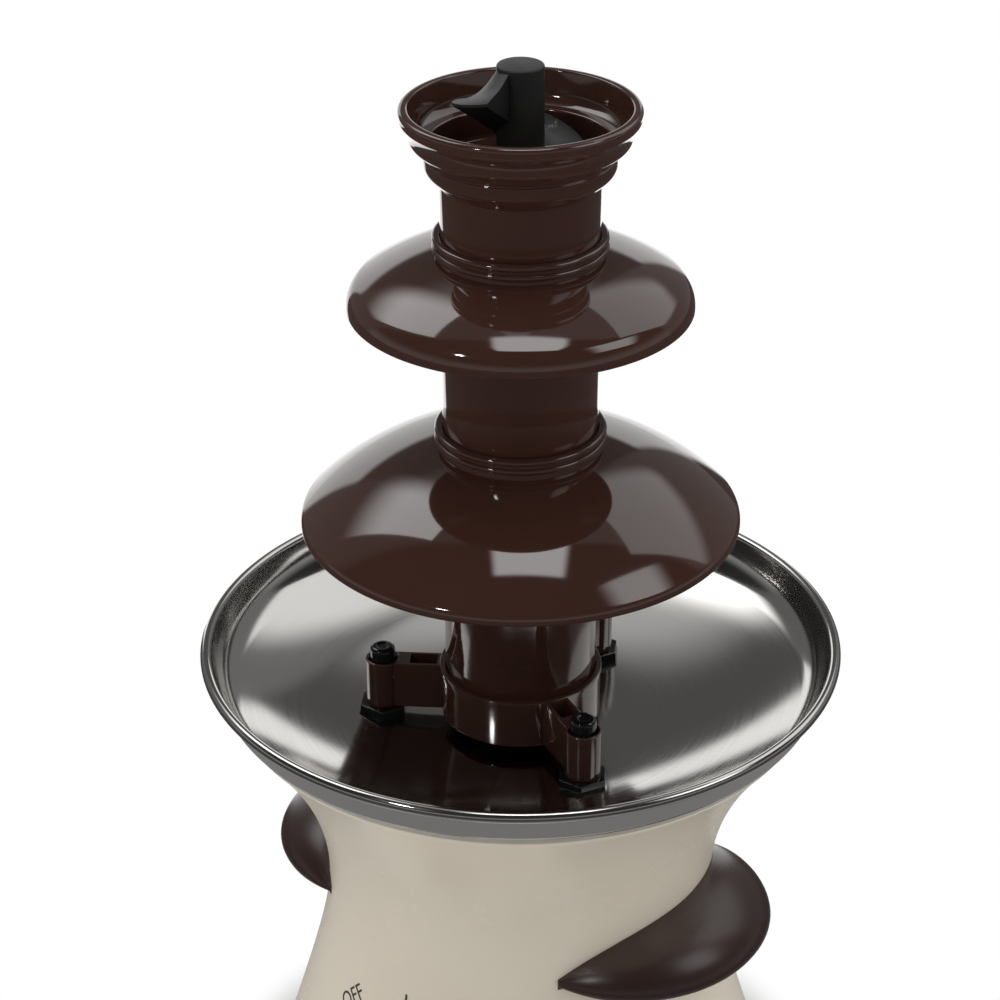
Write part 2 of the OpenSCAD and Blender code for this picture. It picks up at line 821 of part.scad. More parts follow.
module switch_shaft() {
    bottom = -well_depth - switch_wall - switch_l + 4;
    top = -well_depth + knob_lift + knob_h - knob_cap_t - 0.4;
    color(zinc)
        at_knob()
            difference() {
                translate([0, 0, bottom])
                    cylinder(r = switch_shaft_r, h = top - bottom);
                translate([-10, switch_shaft_flat, -well_depth + 4.6])
                    cube([20, 10, 40]);
            }
}
module rotary_switch() {
    face = -well_depth - switch_wall;
    color(black)
        at_knob()
            difference() {
                union() {
                    translate([-switch_w / 2, -switch_w / 2, face - switch_l])
                        cube([switch_w, switch_w, switch_l]);
                    translate([0, 0, face - 1])
                        cylinder(r = bushing_r, h = 1 + switch_wall + switch_nut_h + 1);
                    for (x = [-switch_w / 3, switch_w / 3], y = [-switch_w / 4, switch_w / 4])
                        translate([x - tab_t / 2, y - tab_w / 2, face - switch_l - tab_l])
                            cube([tab_t, tab_w, tab_l + 1]);
                }
                translate([0, 0, face - switch_l + 3.6])
                    cylinder(r = switch_shaft_r + run_clear, h = 40);
            }
}
module switch_nut() {
    color(zinc)
        at_knob()
            translate([0, 0, -well_depth])
                difference() {
                    hex(switch_nut_af, switch_nut_h);
                    translate([0, 0, -1])
                        cylinder(r = bushing_r + fit_clear, h = 10);
                }
}

// Bowl
bead_mid = [bowl_rim_r - bead_r, rim_z];
bead_start = -128;
bowl_line = [[bush_hole_r, bowl_under_z], [bowl_bend_r, bowl_under_z], [bowl_corner_r, corner_z],
    bead_mid + bead_r * [cos(bead_start), sin(bead_start)]];
bowl_inner = shifted(bowl_line, bowl_sheet);
function dish_path(line, r) = concat([line[0]], fillet(line[0], line[1], line[2], r, 16));
function bowl_path(line, r1, r2) =
    concat(dish_path(line, r1), fillet(line[1], line[2], line[3], r2), [line[3]]);
dish_under = dish_path(bowl_line, dish_curve_r);
dish_inner = dish_path(bowl_inner, dish_curve_r - bowl_sheet);
module bowl() {
    color(steel)
        difference() {
            rotate_extrude()
                polygon(concat(bowl_path(bowl_line, dish_curve_r, corner_blend_r + bowl_sheet),
                    arc(bead_mid, bead_r, bead_start, 180, 16),
                    reverse(bowl_path(bowl_inner, dish_curve_r - bowl_sheet, corner_blend_r))));
            at_azimuths(arm_azimuths, pin_ring_r)
                translate([0, 0, bowl_under_z - 1])
                    cylinder(r = stud_hole_r, h = 5);
        }
}
module bowl_gasket() {
    w = gasket_w;
    lift = gasket_h - 0.03;
    color(silicone)
        rotate_extrude()
            polygon([[seat_r - w / 2, shell_top_z], [seat_r + w / 2, shell_top_z],
                [seat_r + w / 2, shell_top_z + lift + w / 2 * dish_tan],
                [seat_r - w / 2, shell_top_z + lift - w / 2 * dish_tan]]);
}
// Everything from a line of the dish to a level, round the axis: what the pins and their seals are cut by
module dish_side(line, level) {
    last = line[len(line) - 1];
    rotate_extrude()
        polygon(concat(line, [[last.x, level], [line[0].x, level]]));
}
module locating_pins() {
    tip_round = pin_r * 0.55;
    stud_z = bowl_under_z - pin_seal_h - stud_l;
    color(black) {
        difference() {
            at_azimuths(arm_azimuths, pin_ring_r)
                translate([0, 0, floor_z])
                    hex(pin_hex_af, pin_hex_h);
            dish_side(dish_inner, bowl_under_z - 1);
        }
        at_azimuths(arm_azimuths, pin_ring_r) {
            rotate_extrude()
                polygon(concat([[0, foot_z - eps], [pin_r, foot_z - eps]],
                    fillet([pin_r, foot_z], [pin_r, pin_tip_z], [0, pin_tip_z], tip_round, 6),
                    [[0, pin_tip_z]]));
            translate([0, 0, stud_z])
                cylinder(r = stud_r, h = foot_z - eps - stud_z);
        }
    }
}
module pin_seals() {
    color(silicone)
        difference() {
            at_azimuths(arm_azimuths, pin_ring_r)
                ring(pin_seal_r, stud_hole_r, foot_z - bowl_under_z, bowl_under_z - pin_seal_h);
            dish_side(dish_under, corner_z);
        }
}
module standoffs() {
    color(zinc)
        at_azimuths(arm_azimuths, pin_ring_r)
            translate([0, 0, bracket_top_z])
                difference() {
                    hex(standoff_af, standoff_h);
                    translate([0, 0, -1])
                        cylinder(r = standoff_bore_r, h = standoff_h + 2);
                }
}
module standoff_screws() {
    color(zinc)
        at_azimuths(arm_azimuths, pin_ring_r)
            translate([0, 0, bracket_z])
                rotate([180, 0, 0])
                    screw(stud_r, plate_t + 8);
}
module shaft_bush() {
    color(white)
        rotate_extrude()
            polygon([[bush_bore_r, bowl_under_z - bush_stem_l], [bush_stem_r, bowl_under_z - bush_stem_l],
                [bush_stem_r, floor_z], [bush_flange_r, floor_z],
                [bush_flange_r, floor_z + bush_flange_h - 1],
                [bush_flange_r - 1, floor_z + bush_flange_h], [bush_r, floor_z + bush_flange_h],
                [bush_r, bush_top_z], [seal_r, bush_top_z], [seal_r, bush_top_z - seal_h],
                [bush_bore_r, bush_top_z - seal_h]]);
}
module bush_nut() {
    color(brass)
        translate([0, 0, bowl_under_z - bush_nut_h])
            difference() {
                hex(bush_nut_af, bush_nut_h);
                translate([0, 0, -1])
                    cylinder(r = bush_stem_r + fit_clear, h = bush_nut_h + 2);
            }
}
module shaft_seal() {
    color(black)
        rotate_extrude()
            polygon([[bush_bore_r, bush_top_z - seal_h], [seal_r - fit_clear, bush_top_z - seal_h],
                [seal_r - fit_clear, bush_top_z], [bush_bore_r + 1, bush_top_z],
                [bush_bore_r, bush_top_z - 1]]);
}

// Heater under the bowl
heater_in_r = 17;
heater_out_r = element_ring_r + 10;
element_z = bowl_under_z - heater_plate_t;
element_gap_angle = 100;
thermostat_r = 8;
thermostat_cap_h = 7;
thermostat_base_h = 3;
tab_l = 8;
tab_w = 6;
tab_t = 0.8;
element_pin_r = 1.6;
element_pin_l = 9;
module heater_plate() {
    color([0.72, 0.73, 0.75])
        difference() {
            ring(heater_out_r, heater_in_r, heater_plate_t, bowl_under_z - heater_plate_t);
            rotate_extrude()
                translate([element_ring_r, element_z])
                    circle(r = element_d / 2 + fit_clear);
        }
}
module heating_element() {
    start = 90 + element_gap_angle / 2;
    sweep = 360 - element_gap_angle;
    color(zinc)
        translate([0, 0, element_z]) {
            rotate([0, 0, start])
                rotate_extrude(angle = sweep)
                    translate([element_ring_r, 0])
                        circle(r = element_d / 2);
            for (end = [[start, 90], [start + sweep, -90]])
                rotate([0, 0, end[0]])
                    translate([element_ring_r, 0, 0])
                        rotate([end[1], 0, 0])
                            translate([0, 0, -eps])
                                cylinder(r = element_pin_r, h = element_pin_l);
        }
}
module thermostat() {
    low = -thermostat_cap_h - thermostat_base_h;
    color(black)
        translate([0, element_ring_r, element_z]) {
            translate([0, 0, -thermostat_cap_h])
                cylinder(r = thermostat_r, h = thermostat_cap_h);
            translate([0, 0, low])
                cylinder(r = thermostat_r - 1, h = thermostat_base_h + eps);
            for (x = [-thermostat_r / 2, thermostat_r / 2])
                translate([x - tab_t / 2, -tab_w / 2, low - tab_l])
                    cube([tab_t, tab_w, tab_l + eps]);
        }
}

// Gearbox and its plates
module motor_bracket() {
    color(zinc)
        translate([0, 0, bracket_z])
            linear_extrude(plate_t)
                difference() {
                    union() {
                        circle(r = bracket_r);
                        for (a = ear_azimuths)
                            translate(polar(post_ring_r, a))
                                circle(r = ear_r);
                    }
                    circle(r = bearing_r + fit_clear);
                    for (a = arm_azimuths)
                        translate(polar(pin_ring_r, a))
                            circle(r = stud_r + 0.2);
                    for (a = ear_azimuths)
                        translate(polar(post_ring_r, a))
                            circle(r = pass_hole_r);
                    for (a = pillar_azimuths)
                        translate(polar(pillar_ring_r, a))
                            circle(r = tenon_r + fit_clear);
                    translate(idler_pos)
                        circle(r = idler_pin_r + fit_clear);
                }
}
module bracket_screws() {
    color(zinc)
        at_azimuths(ear_azimuths, post_ring_r)
            translate([0, 0, bracket_top_z])
                screw(small_screw_r, plate_t + bracket_screw_l);
}
module gear_plate() {
    color(zinc)
        translate([0, 0, gear_plate_z])
            linear_extrude(plate_t)
                difference() {
                    circle(r = gear_plate_r);
                    circle(r = bearing_r + fit_clear);
                    translate(motor_pos)
                        circle(r = rotor_shaft_r + run_clear);
                    translate(idler_pos)
                        circle(r = idler_pin_r + fit_clear);
                    for (a = pillar_azimuths)
                        translate(polar(pillar_ring_r, a))
                            circle(r = tenon_r + fit_clear);
                    motor_screw_places()
                        circle(r = screw_hole_r);
                }
}
module gear_pillars() {
    color(zinc)
        at_azimuths(pillar_azimuths, pillar_ring_r) {
            translate([0, 0, gear_plate_top_z])
                cylinder(r = pillar_r, h = gearbox_h);
            translate([0, 0, gear_plate_z])
                cylinder(r = tenon_r, h = gearbox_h + 2 * plate_t);
        }
}
module bearing() {
    rotate_extrude()
        polygon([[bush_bore_r, 0], [bearing_r, 0], [bearing_r, plate_t], [bearing_flange_r, plate_t],
            [bearing_flange_r, plate_t + bearing_flange_h], [bush_bore_r, plate_t + bearing_flange_h]]);
}
module shaft_bearings() {
    color(brass) {
        translate([0, 0, bracket_z])
            bearing();
        translate([0, 0, gear_plate_top_z])
            rotate([180, 0, 0])
                bearing();
    }
}
module thrust_washer() {
    color(brass)
        ring(hub_r, bush_bore_r, washer_h, gear_plate_top_z);
}
module idler_pin() {
    color(steel)
        translate([each idler_pos, gear_plate_z])
            cylinder(r = idler_pin_r, h = gearbox_h + 2 * plate_t);
}
module idler_gear() {
    low = gear_plate_top_z + thrust_gap;
    high = bracket_z - thrust_gap;
    color(white)
        translate([each idler_pos, 0])
            difference() {
                union() {
                    translate([0, 0, fast_z])
                        gear(idler_gear_teeth, fast_module, -gear_shift, fast_face);
                    translate([0, 0, slow_z - 0.6])
                        rotate([0, 0, idler_angle + 180 + 180 / idler_pinion_teeth])
                            gear(idler_pinion_teeth, slow_module, gear_shift, slow_face + 1.2);
                    translate([0, 0, low])
                        cylinder(r = 4.2, h = high - low);
                }
                translate([0, 0, low - 1])
                    cylinder(r = idler_bore_r, h = high - low + 2);
            }
}
module output_gear() {
    high = bracket_z - thrust_gap;
    web_r = slow_module * output_teeth / 2 - gear_rim_w;
    color(white)
        difference() {
            union() {
                translate([0, 0, slow_z])
                    rotate([0, 0, idler_angle])
                        gear(output_teeth, slow_module, -gear_shift, slow_face);
                translate([0, 0, hub_z])
                    cylinder(r = hub_r, h = high - hub_z);
            }
            ring(web_r, hub_r + hub_wall, web_depth + 1, slow_z - 1);
            ring(web_r, hub_r + hub_wall, web_depth + 1, slow_z + slow_face - web_depth);
            translate([0, 0, hub_z - 1])
                cylinder(r = shaft_r + fit_clear, h = high - hub_z + 2);
            translate([-20, 0, gear_pin_z])
                rotate([0, 90, 0])
                    cylinder(r = gear_pin_r + fit_clear, h = 40);
        }
}
module gear_pin() {
    color(steel)
        translate([-hub_r + 0.4, 0, gear_pin_z])
            rotate([0, 90, 0])
                cylinder(r = gear_pin_r, h = 2 * hub_r - 0.8);
}
module shaft_clip() {
    top = gear_plate_z - bearing_flange_h - thrust_gap;
    color(steel)
        difference() {
            ring(clip_r, shaft_r - 0.6 + fit_clear, clip_h, top - clip_h);
            translate([-2.6, -10, top - clip_h - 1])
                cube([5.2, 10, clip_h + 2]);
        }
}
module drive_shaft() {
    clip_top = gear_plate_z - bearing_flange_h - thrust_gap;
    chamfer = 0.6;
    color(steel)
        difference() {
            rotate_extrude()
                polygon([[0, shaft_z], [shaft_r, shaft_z],
                    [shaft_r, clip_top - clip_h - fit_clear], [shaft_r - 0.6, clip_top - clip_h - fit_clear],
                    [shaft_r - 0.6, clip_top + fit_clear], [shaft_r, clip_top + fit_clear],
                    [shaft_r, shaft_top_z - chamfer], [shaft_r - chamfer, shaft_top_z], [0, shaft_top_z]]);
            translate([-10, shaft_flat, skirt_top_z])
                cube([20, 10, socket_depth + 1]);
            translate([-20, 0, gear_pin_z])
                rotate([0, 90, 0])
                    cylinder(r = gear_pin_r + fit_clear, h = 40);
        }
}

// Shaded-pole motor
module motor_screw_places() {
    for (x = [-screw_x, screw_x], y = screw_ys)
        translate([motor_pos.x + x, motor_pos.y + y])
            children();
}
leg_y = motor_pos.y - core_front;
module motor_core() {
    slot_w = 1.6;
    color([0.35, 0.36, 0.38])
        translate([0, 0, core_z])
            linear_extrude(core_h)
                difference() {
                    translate([motor_pos.x - core_w / 2, leg_y])
                        square([core_w, core_front + core_rear]);
                    translate(motor_pos)
                        circle(r = core_bore_r);
                    translate([motor_pos.x - window_w / 2, leg_y + leg_t])
                        square([window_w, window_l]);
                    for (side = [0, 180])
                        translate(motor_pos)
                            rotate(side + 50)
                                translate([0, -slot_w / 2])
                                    square([core_bore_r + 4, slot_w]);
                    motor_screw_places()
                        circle(r = screw_hole_r);
                }
}
module motor_coil() {
    leg = [coil_l + 2, leg_t + 2 * coil_clear, core_h + 2 * coil_clear];
    flange_t = 1.4;
    color(copper)
        translate([motor_pos.x, leg_y + leg_t / 2, core_z + core_h / 2])
            difference() {
                union() {
                    cube([coil_l, leg_t + 2 * coil_t - 2, core_h + 2 * coil_t - 2], center = true);
                    for (side = [-1, 1])
                        translate([side * (coil_l - flange_t) / 2, 0, 0])
                            cube([flange_t, leg_t + 2 * coil_t, core_h + 2 * coil_t], center = true);
                }
                cube(leg, center = true);
            }
}
module rotor() {
    color(zinc)
        translate([each motor_pos, core_z])
            difference() {
                union() {
                    cylinder(r = rotor_r, h = core_h);
                    translate([0, 0, -end_ring_h])
                        cylinder(r = rotor_r - 1, h = core_h + 2 * end_ring_h);
                }
                translate([0, 0, -end_ring_h - 1])
                    cylinder(r = rotor_shaft_r + fit_clear, h = core_h + 2 * end_ring_h + 2);
            }
}
module rotor_shaft() {
    low = bridge_z - 2;
    color(steel)
        translate([each motor_pos, low])
            cylinder(r = rotor_shaft_r, h = fast_z + fast_face + 0.4 - low);
}
module motor_pinion() {
    color(brass)
        translate([each motor_pos, fast_z - 0.4])
            difference() {
                rotate([0, 0, 180 + 180 / motor_pinion_teeth])
                    gear(motor_pinion_teeth, fast_module, gear_shift, fast_face + 0.8);
                translate([0, 0, -1])
                    cylinder(r = rotor_shaft_r + fit_clear, h = fast_face + 3);
            }
}
module rotor_bridge() {
    color(zinc)
        translate([each motor_pos, 0])
            difference() {
                union() {
                    translate([-core_w / 2, -7, bridge_z])
                        cube([core_w, core_rear + 5, bridge_t]);
                    for (x = [-screw_x, screw_x])
                        translate([x, screw_ys[0], bridge_z])
                            cylinder(r = spacer_r, h = bridge_t + bridge_gap);
                    translate([0, 0, bridge_z - 1.6])
                        cylinder(r = 6, h = 2);
                }
                translate([0, 0, bridge_z - 4])
                    cylinder(r = rotor_shaft_r + run_clear, h = 12);
                for (x = [-screw_x, screw_x])
                    translate([x, screw_ys[0], bridge_z - 1])
                        cylinder(r = screw_hole_r, h = bridge_t + bridge_gap + 2);
            }
}
module motor_spacers() {
    color(zinc)
        motor_screw_places()
            ring(spacer_r, screw_hole_r, spacer_l, core_top_z);
}
module motor_screws() {
    color(zinc)
        for (x = [-screw_x, screw_x], row = [0, 1])
            let (seat = row == 0 ? bridge_z : core_z)
                translate([motor_pos.x + x, motor_pos.y + screw_ys[row], seat])
                    rotate([180, 0, 0])
                        screw(motor_screw_r, gear_plate_top_z - seat);
}

// Tower
module tower_foot() {
    seat_z = foot_top_z - plug_depth;
    pocket_l = 9;
    pocket_w = 6;
    pocket_d = foot_collar_h - 3;
    arm_in = collar_r - 0.6;
    lip = 0.5;
    color(cocoa)
        difference() {
            union() {
                rotate_extrude()
                    polygon([[0, foot_z], [collar_r - 0.4, foot_z], [collar_r, foot_z + 0.6],
                        [collar_r, foot_top_z - 2.4], [collar_r + lip, foot_top_z - 2],
                        [collar_r + lip, foot_top_z - 0.4], [collar_r + 0.1, foot_top_z], [0, foot_top_z]]);
                for (a = arm_azimuths)
                    rotate([0, 0, a]) {
                        translate([-foot_arm_w / 2, -pin_ring_r, foot_z])
                            cube([foot_arm_w, pin_ring_r - arm_in, foot_collar_h - 0.4]);
                        translate([0, -pin_ring_r, foot_z])
                            cylinder(d = foot_boss_d, h = foot_collar_h - 0.2);
                    }
            }
            translate([0, 0, seat_z])
                cylinder(r = socket_r, h = plug_depth + 1);
            translate([0, 0, foot_z - 1])
                cylinder(r = tube_in_r, h = foot_collar_h + 2);
            for (a = arm_azimuths)
                rotate([0, 0, a]) {
                    translate([-pocket_w / 2, -collar_r - lip - 0.8 - pocket_l, foot_top_z - pocket_d])
                        cube([pocket_w, pocket_l, pocket_d + 1]);
                    translate([0, -pin_ring_r, foot_z - 1])
                        cylinder(r = boss_bore_r, h = foot_collar_h + 2);
                }
        }
}
// Two beads round the top of a collar
function collar_path(top) =
    concat([[collar_r, top - 4.6 * collar_bead_r - 0.4]],
        arc([collar_r, top - 3.6 * collar_bead_r - 0.4], collar_bead_r, -90, 90, 6),
        arc([collar_r, top - collar_bead_r], collar_bead_r, -90, 90, 6));
module tier(low_z, rim_r, rim_z, slope, bow, edge_r, top_z) {
    mid = [rim_r - edge_r, rim_z];
    b = dome_bow(rim_r, rim_z, slope, bow, edge_r);
    under_r = b[1] - dome_wall;
    root = acos((tube_r - b[0].x) / under_r);
    edge = 90 - slope - bow;
    in_rim_r = rim_r - dome_wall;
    rim_round = dome_wall * 0.35;
    rotate_extrude()
        polygon(concat(
            [[tube_in_r, low_z], [tube_r - 0.5, low_z], [tube_r, low_z + 0.8]],
            arc(b[0], under_r, root, edge, 14),
            arc(mid, edge_r - dome_wall, edge, 0),
            fillet([in_rim_r, rim_z], [in_rim_r, rim_z - 1], [rim_r, rim_z - 1], rim_round, 4),
            fillet([in_rim_r, rim_z - 1], [rim_r, rim_z - 1], [rim_r, rim_z], rim_round, 4),
            arc(mid, edge_r, 0, edge),
            arc(b[0], b[1], edge, edge + 2 * bow, 14),
            collar_path(top_z),
            [[socket_r, top_z], [socket_r, top_z - plug_depth], [tube_in_r, top_z - plug_depth]]));
}
module large_tier() {
    color(cocoa)
        tier(foot_top_z - plug_depth, large_rim_r, large_rim_z, large_slope, large_bow, large_edge_r,
            large_top_z);
}
module medium_tier() {
    color(cocoa)
        tier(large_top_z - plug_depth, medium_rim_r, medium_rim_z, medium_slope, medium_bow, medium_edge_r,
            medium_top_z);
}
// Crown: a tube with a rounded band round its neck, then a flaring cup with a thick lip
crown_bead_r = 1.4;
crown_lip_h = 4.2;
crown_foot_r = 0.8;
crown_band_r = tube_r + 4.7;
crown_band_h = 4;
crown_neck_h = 4.6;
crown_wall = 2.4;
module crown() {
    low_z = medium_top_z - plug_depth;
    band_z = crown_rim_z - crown_flare_h;
    band_low_z = band_z - crown_band_h;
    neck_z = band_low_z - crown_neck_h;
    band_round = 4;
    groove = [crown_band_r - 0.7, band_z + 0.4];
    flare = [crown_rim_r - 2.9, crown_rim_z - crown_flare_h * 0.54];
    flare_low = flare - [0, 2];
    lip = [crown_rim_r - crown_bead_r, crown_rim_z - crown_bead_r];
    lip_foot = [crown_rim_r - 0.3 - crown_foot_r, crown_rim_z - crown_lip_h + crown_foot_r];
    mouth = [crown_rim_r - 3, crown_rim_z];
    throat = [crown_band_r - crown_wall, crown_rim_z - cup_depth];
    throat_low = [throat.x, band_low_z];
    color(cocoa)
        rotate_extrude()
            polygon(concat(
                [[tube_in_r, low_z], [tube_r - 0.5, low_z], [tube_r, low_z + 0.8]],
                fillet([tube_r, low_z], [tube_r, neck_z], [crown_band_r, band_low_z], 0.8, 4),
                fillet([tube_r, neck_z], [crown_band_r, band_low_z], [crown_band_r, band_z], band_round, 6),
                [[crown_band_r, band_z - 0.4], [crown_band_r - 0.4, band_z], groove],
                fillet(groove, flare_low, flare, 2.5, 6),
                [flare],
                arc(lip_foot, crown_foot_r, -60, 20, 4),
                arc(lip, crown_bead_r, -20, 90, 8),
                fillet([lip.x, crown_rim_z], mouth, throat, 0.8, 4),
                fillet(mouth, throat, throat_low, 0.8, 4),
                [throat_low, [tube_in_r, neck_z - 0.6]]));
}

// Auger: a shaft with a socket and a skirt below, and a right-handed flight of tapering section
function flight_root_r(z) =
    let (k = min(1, max(0, (z - skirt_top_z) / skirt_taper_h)))
    (skirt_r - 1.1) * (1 - k) + (auger_shaft_r - 1.1) * k;
function flight_ring(a, mid) =
    let (
        angle = flight_end_angle - a,
        low = mid - flight_root_h / 2,
        high = mid + flight_root_h / 2,
        tip = mid + flight_tip_lift,
        root = [flight_root_r(high), high],
        edge = [auger_r, tip + flight_tip_h / 2],
        scoop = (root + edge) / 2 - flight_hollow * [1, 1],
        section = [[flight_root_r(low), low], [auger_r, tip - flight_tip_h / 2], edge, scoop, root]
    )
    [for (p = section) [p.x * cos(angle), p.x * sin(angle), p.y]];
module flight() {
    n = ceil(flight_turn / flight_step);
    loft([for (i = [0 : n])
        flight_ring(flight_turn * i / n, flight_top_mid_z - auger_pitch * flight_turn * i / n / 360)]);
}
module auger_shaft() {
    difference() {
        rotate_extrude()
            polygon([[skirt_in_r, skirt_z], [skirt_r, skirt_z], [skirt_r, skirt_top_z],
                [auger_shaft_r, skirt_top_z + skirt_taper_h], [auger_shaft_r, auger_top_z - 1],
                [auger_shaft_r - 1, auger_top_z], [0, auger_top_z], [0, skirt_top_z],
                [skirt_in_r, skirt_top_z]]);
        intersection() {
            translate([0, 0, skirt_top_z - 1])
                cylinder(r = shaft_r + run_clear, h = socket_depth + 1);
            translate([-10, -10, skirt_top_z - 1])
                cube([20, 10 + shaft_flat + run_clear, socket_depth + 1]);
        }
    }
}
module auger() {
    color(black) {
        auger_shaft();
        flight();
    }
}

base_shell();
bottom_cover();
cover_screws();
feet();
cord_gland();
terminal_block();
handle_right();
handle_left();
handle_screws();
control_knob();
switch_shaft();
rotary_switch();
switch_nut();
bowl();
bowl_gasket();
locating_pins();
pin_seals();
standoffs();
standoff_screws();
shaft_bush();
bush_nut();
shaft_seal();
heater_plate();
heating_element();
thermostat();
motor_bracket();
bracket_screws();
gear_plate();
gear_pillars();
shaft_bearings();
thrust_washer();
idler_pin();
idler_gear();
output_gear();
gear_pin();
shaft_clip();
drive_shaft();
motor_core();
motor_coil();
rotor();
rotor_shaft();
motor_pinion();
rotor_bridge();
motor_spacers();
motor_screws();
tower_foot();
large_tier();
medium_tier();
crown();
auger();
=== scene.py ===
"""Looks of a table-top chocolate fountain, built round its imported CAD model.

Sizes are in metres in the CAD's own frame: +Z up along the auger, front towards -Y.
"""

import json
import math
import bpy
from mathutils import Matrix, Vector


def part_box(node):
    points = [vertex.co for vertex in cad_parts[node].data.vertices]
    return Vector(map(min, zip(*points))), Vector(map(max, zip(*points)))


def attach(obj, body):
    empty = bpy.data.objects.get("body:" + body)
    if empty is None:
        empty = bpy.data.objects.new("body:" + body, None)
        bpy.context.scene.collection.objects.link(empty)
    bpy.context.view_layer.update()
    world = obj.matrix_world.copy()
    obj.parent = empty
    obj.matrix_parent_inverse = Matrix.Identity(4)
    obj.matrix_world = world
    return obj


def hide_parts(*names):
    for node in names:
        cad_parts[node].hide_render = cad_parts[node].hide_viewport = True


bl_info = {
    "name": "Chocolate fountain",
    "version": (1, 0, 0),
    "blender": (4, 5, 0),
    "location": "View3D > Sidebar > Fountain",
    "description": "Smooth tower, bowl, base and auger over the fountain's CAD frame",
    "category": "Object",
}

import bmesh
import bpy
from bpy.props import FloatProperty, FloatVectorProperty, IntProperty, PointerProperty
from mathutils import Matrix, Vector

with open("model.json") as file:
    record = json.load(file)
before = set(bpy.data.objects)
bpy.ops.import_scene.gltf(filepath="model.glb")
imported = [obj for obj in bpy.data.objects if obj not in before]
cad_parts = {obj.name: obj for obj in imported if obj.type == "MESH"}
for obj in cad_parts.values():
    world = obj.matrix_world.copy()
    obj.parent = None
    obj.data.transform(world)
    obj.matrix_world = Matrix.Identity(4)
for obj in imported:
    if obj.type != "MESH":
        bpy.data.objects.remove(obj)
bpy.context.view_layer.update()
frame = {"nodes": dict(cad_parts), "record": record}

MM = 0.001
BOWL_SHEET = 0.8 * MM
BOWL_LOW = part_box("bowl")[0]
FLOOR_Z = BOWL_LOW.z + BOWL_SHEET
FOOT_LOW, FOOT_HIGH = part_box("tower_foot")
LARGE_LOW, LARGE_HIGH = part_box("large_tier")
MEDIUM_LOW, MEDIUM_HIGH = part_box("medium_tier")
CROWN_LOW, CROWN_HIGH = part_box("crown")
AUGER_LOW, AUGER_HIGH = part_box("auger")
SHELL_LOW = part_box("base_shell")[0]
GASKET_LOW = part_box("bowl_gasket")[0]
PIN_LOW, PIN_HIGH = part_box("locating_pins")

LEVEL = (1, 1, 0)  # a vector times this is its level part
WELD, TREE_WELD = 1e-6, 1e-5  # closer points are one: in lofts, and in what a node tree grows

PIN_AZIMUTHS = (-60, 60, 180)
# The dial's marks: name, text, angle in degrees anticlockwise from the right
MARKS = (("mark_off", "OFF", 135), ("mark_one", "1", 90), ("mark_two", "2", 45))

FLOOR_RADIUS, FLOOR_DEPTH = 4.0, 0.02
SHADOW = (0.092, 0.115)  # radii between which the shadow round the base ends
BACKDROP_EDGE = (26.5, 23.5)  # degrees from the backdrop's middle between which it begins
ROOM_LIGHT = 0.545  # what the world sheds on matte surfaces
SOFTBOX_AIM, LAMP_AIM = 0.25, 0.2  # heights on the axis that the lights point at
# Softboxes: azimuth from the camera's, elevation, distance, size, strength, fades of the edges, roll.
# Two stand behind the fountain, one above it and one at its right, as the tower's domes mirror them.
SOFTBOXES = {
    "softbox_left": (-136, 45, 1.3, (0.64, 0.9), 2.8, (0, 0.4, 0.5, 0), 0),
    "softbox_right": (133, 41, 1.3, (0.96, 0.84), 1.1, (0.2, 0, 0.2, 0), 0),
    "softbox_top": (30, 84, 1.2, (0.58, 0.42), 3.4, (0.12, 0.12, 0.12, 0.12), 30),
    "softbox_side": (75, 43, 1.6, (0.93, 0.67), 2.0, (0.3, 0.3, 0, 0), 29),
}
# Lamps: azimuth from the camera's, elevation, distance, size, power, whether gloss shows them.
# The fills only brighten the base's sides, out of sight of its gloss.
LAMPS = {
    "key_lamp": (-44, 42, 1.5, 0.1, 1.6, True),
    "fill_left": (-76, 5, 1.5, 0.5, 3.2, False),
    "fill_right": (85, 5, 1.5, 0.5, 3.2, False),
}


def length(name, value, description):
    """A size in metres, given in millimetres."""
    return FloatProperty(name=name, description=description, default=value * MM, unit="LENGTH", precision=5)


def degrees(name, value, description):
    return FloatProperty(name=name, description=description, default=math.radians(value), subtype="ANGLE")


def linear(hex_colour):
    """Linear RGBA of an sRGB hex colour."""
    parts = [int(hex_colour[i:i + 2], 16) / 255 for i in (1, 3, 5)]
    return tuple(c / 12.92 if c <= 0.04045 else ((c + 0.055) / 1.055) ** 2.4 for c in parts) + (1.0,)


def colour(name, hex_colour, description):
    return FloatVectorProperty(name=name, description=description, default=linear(hex_colour), size=4,
                               subtype="COLOR", min=0, max=1)


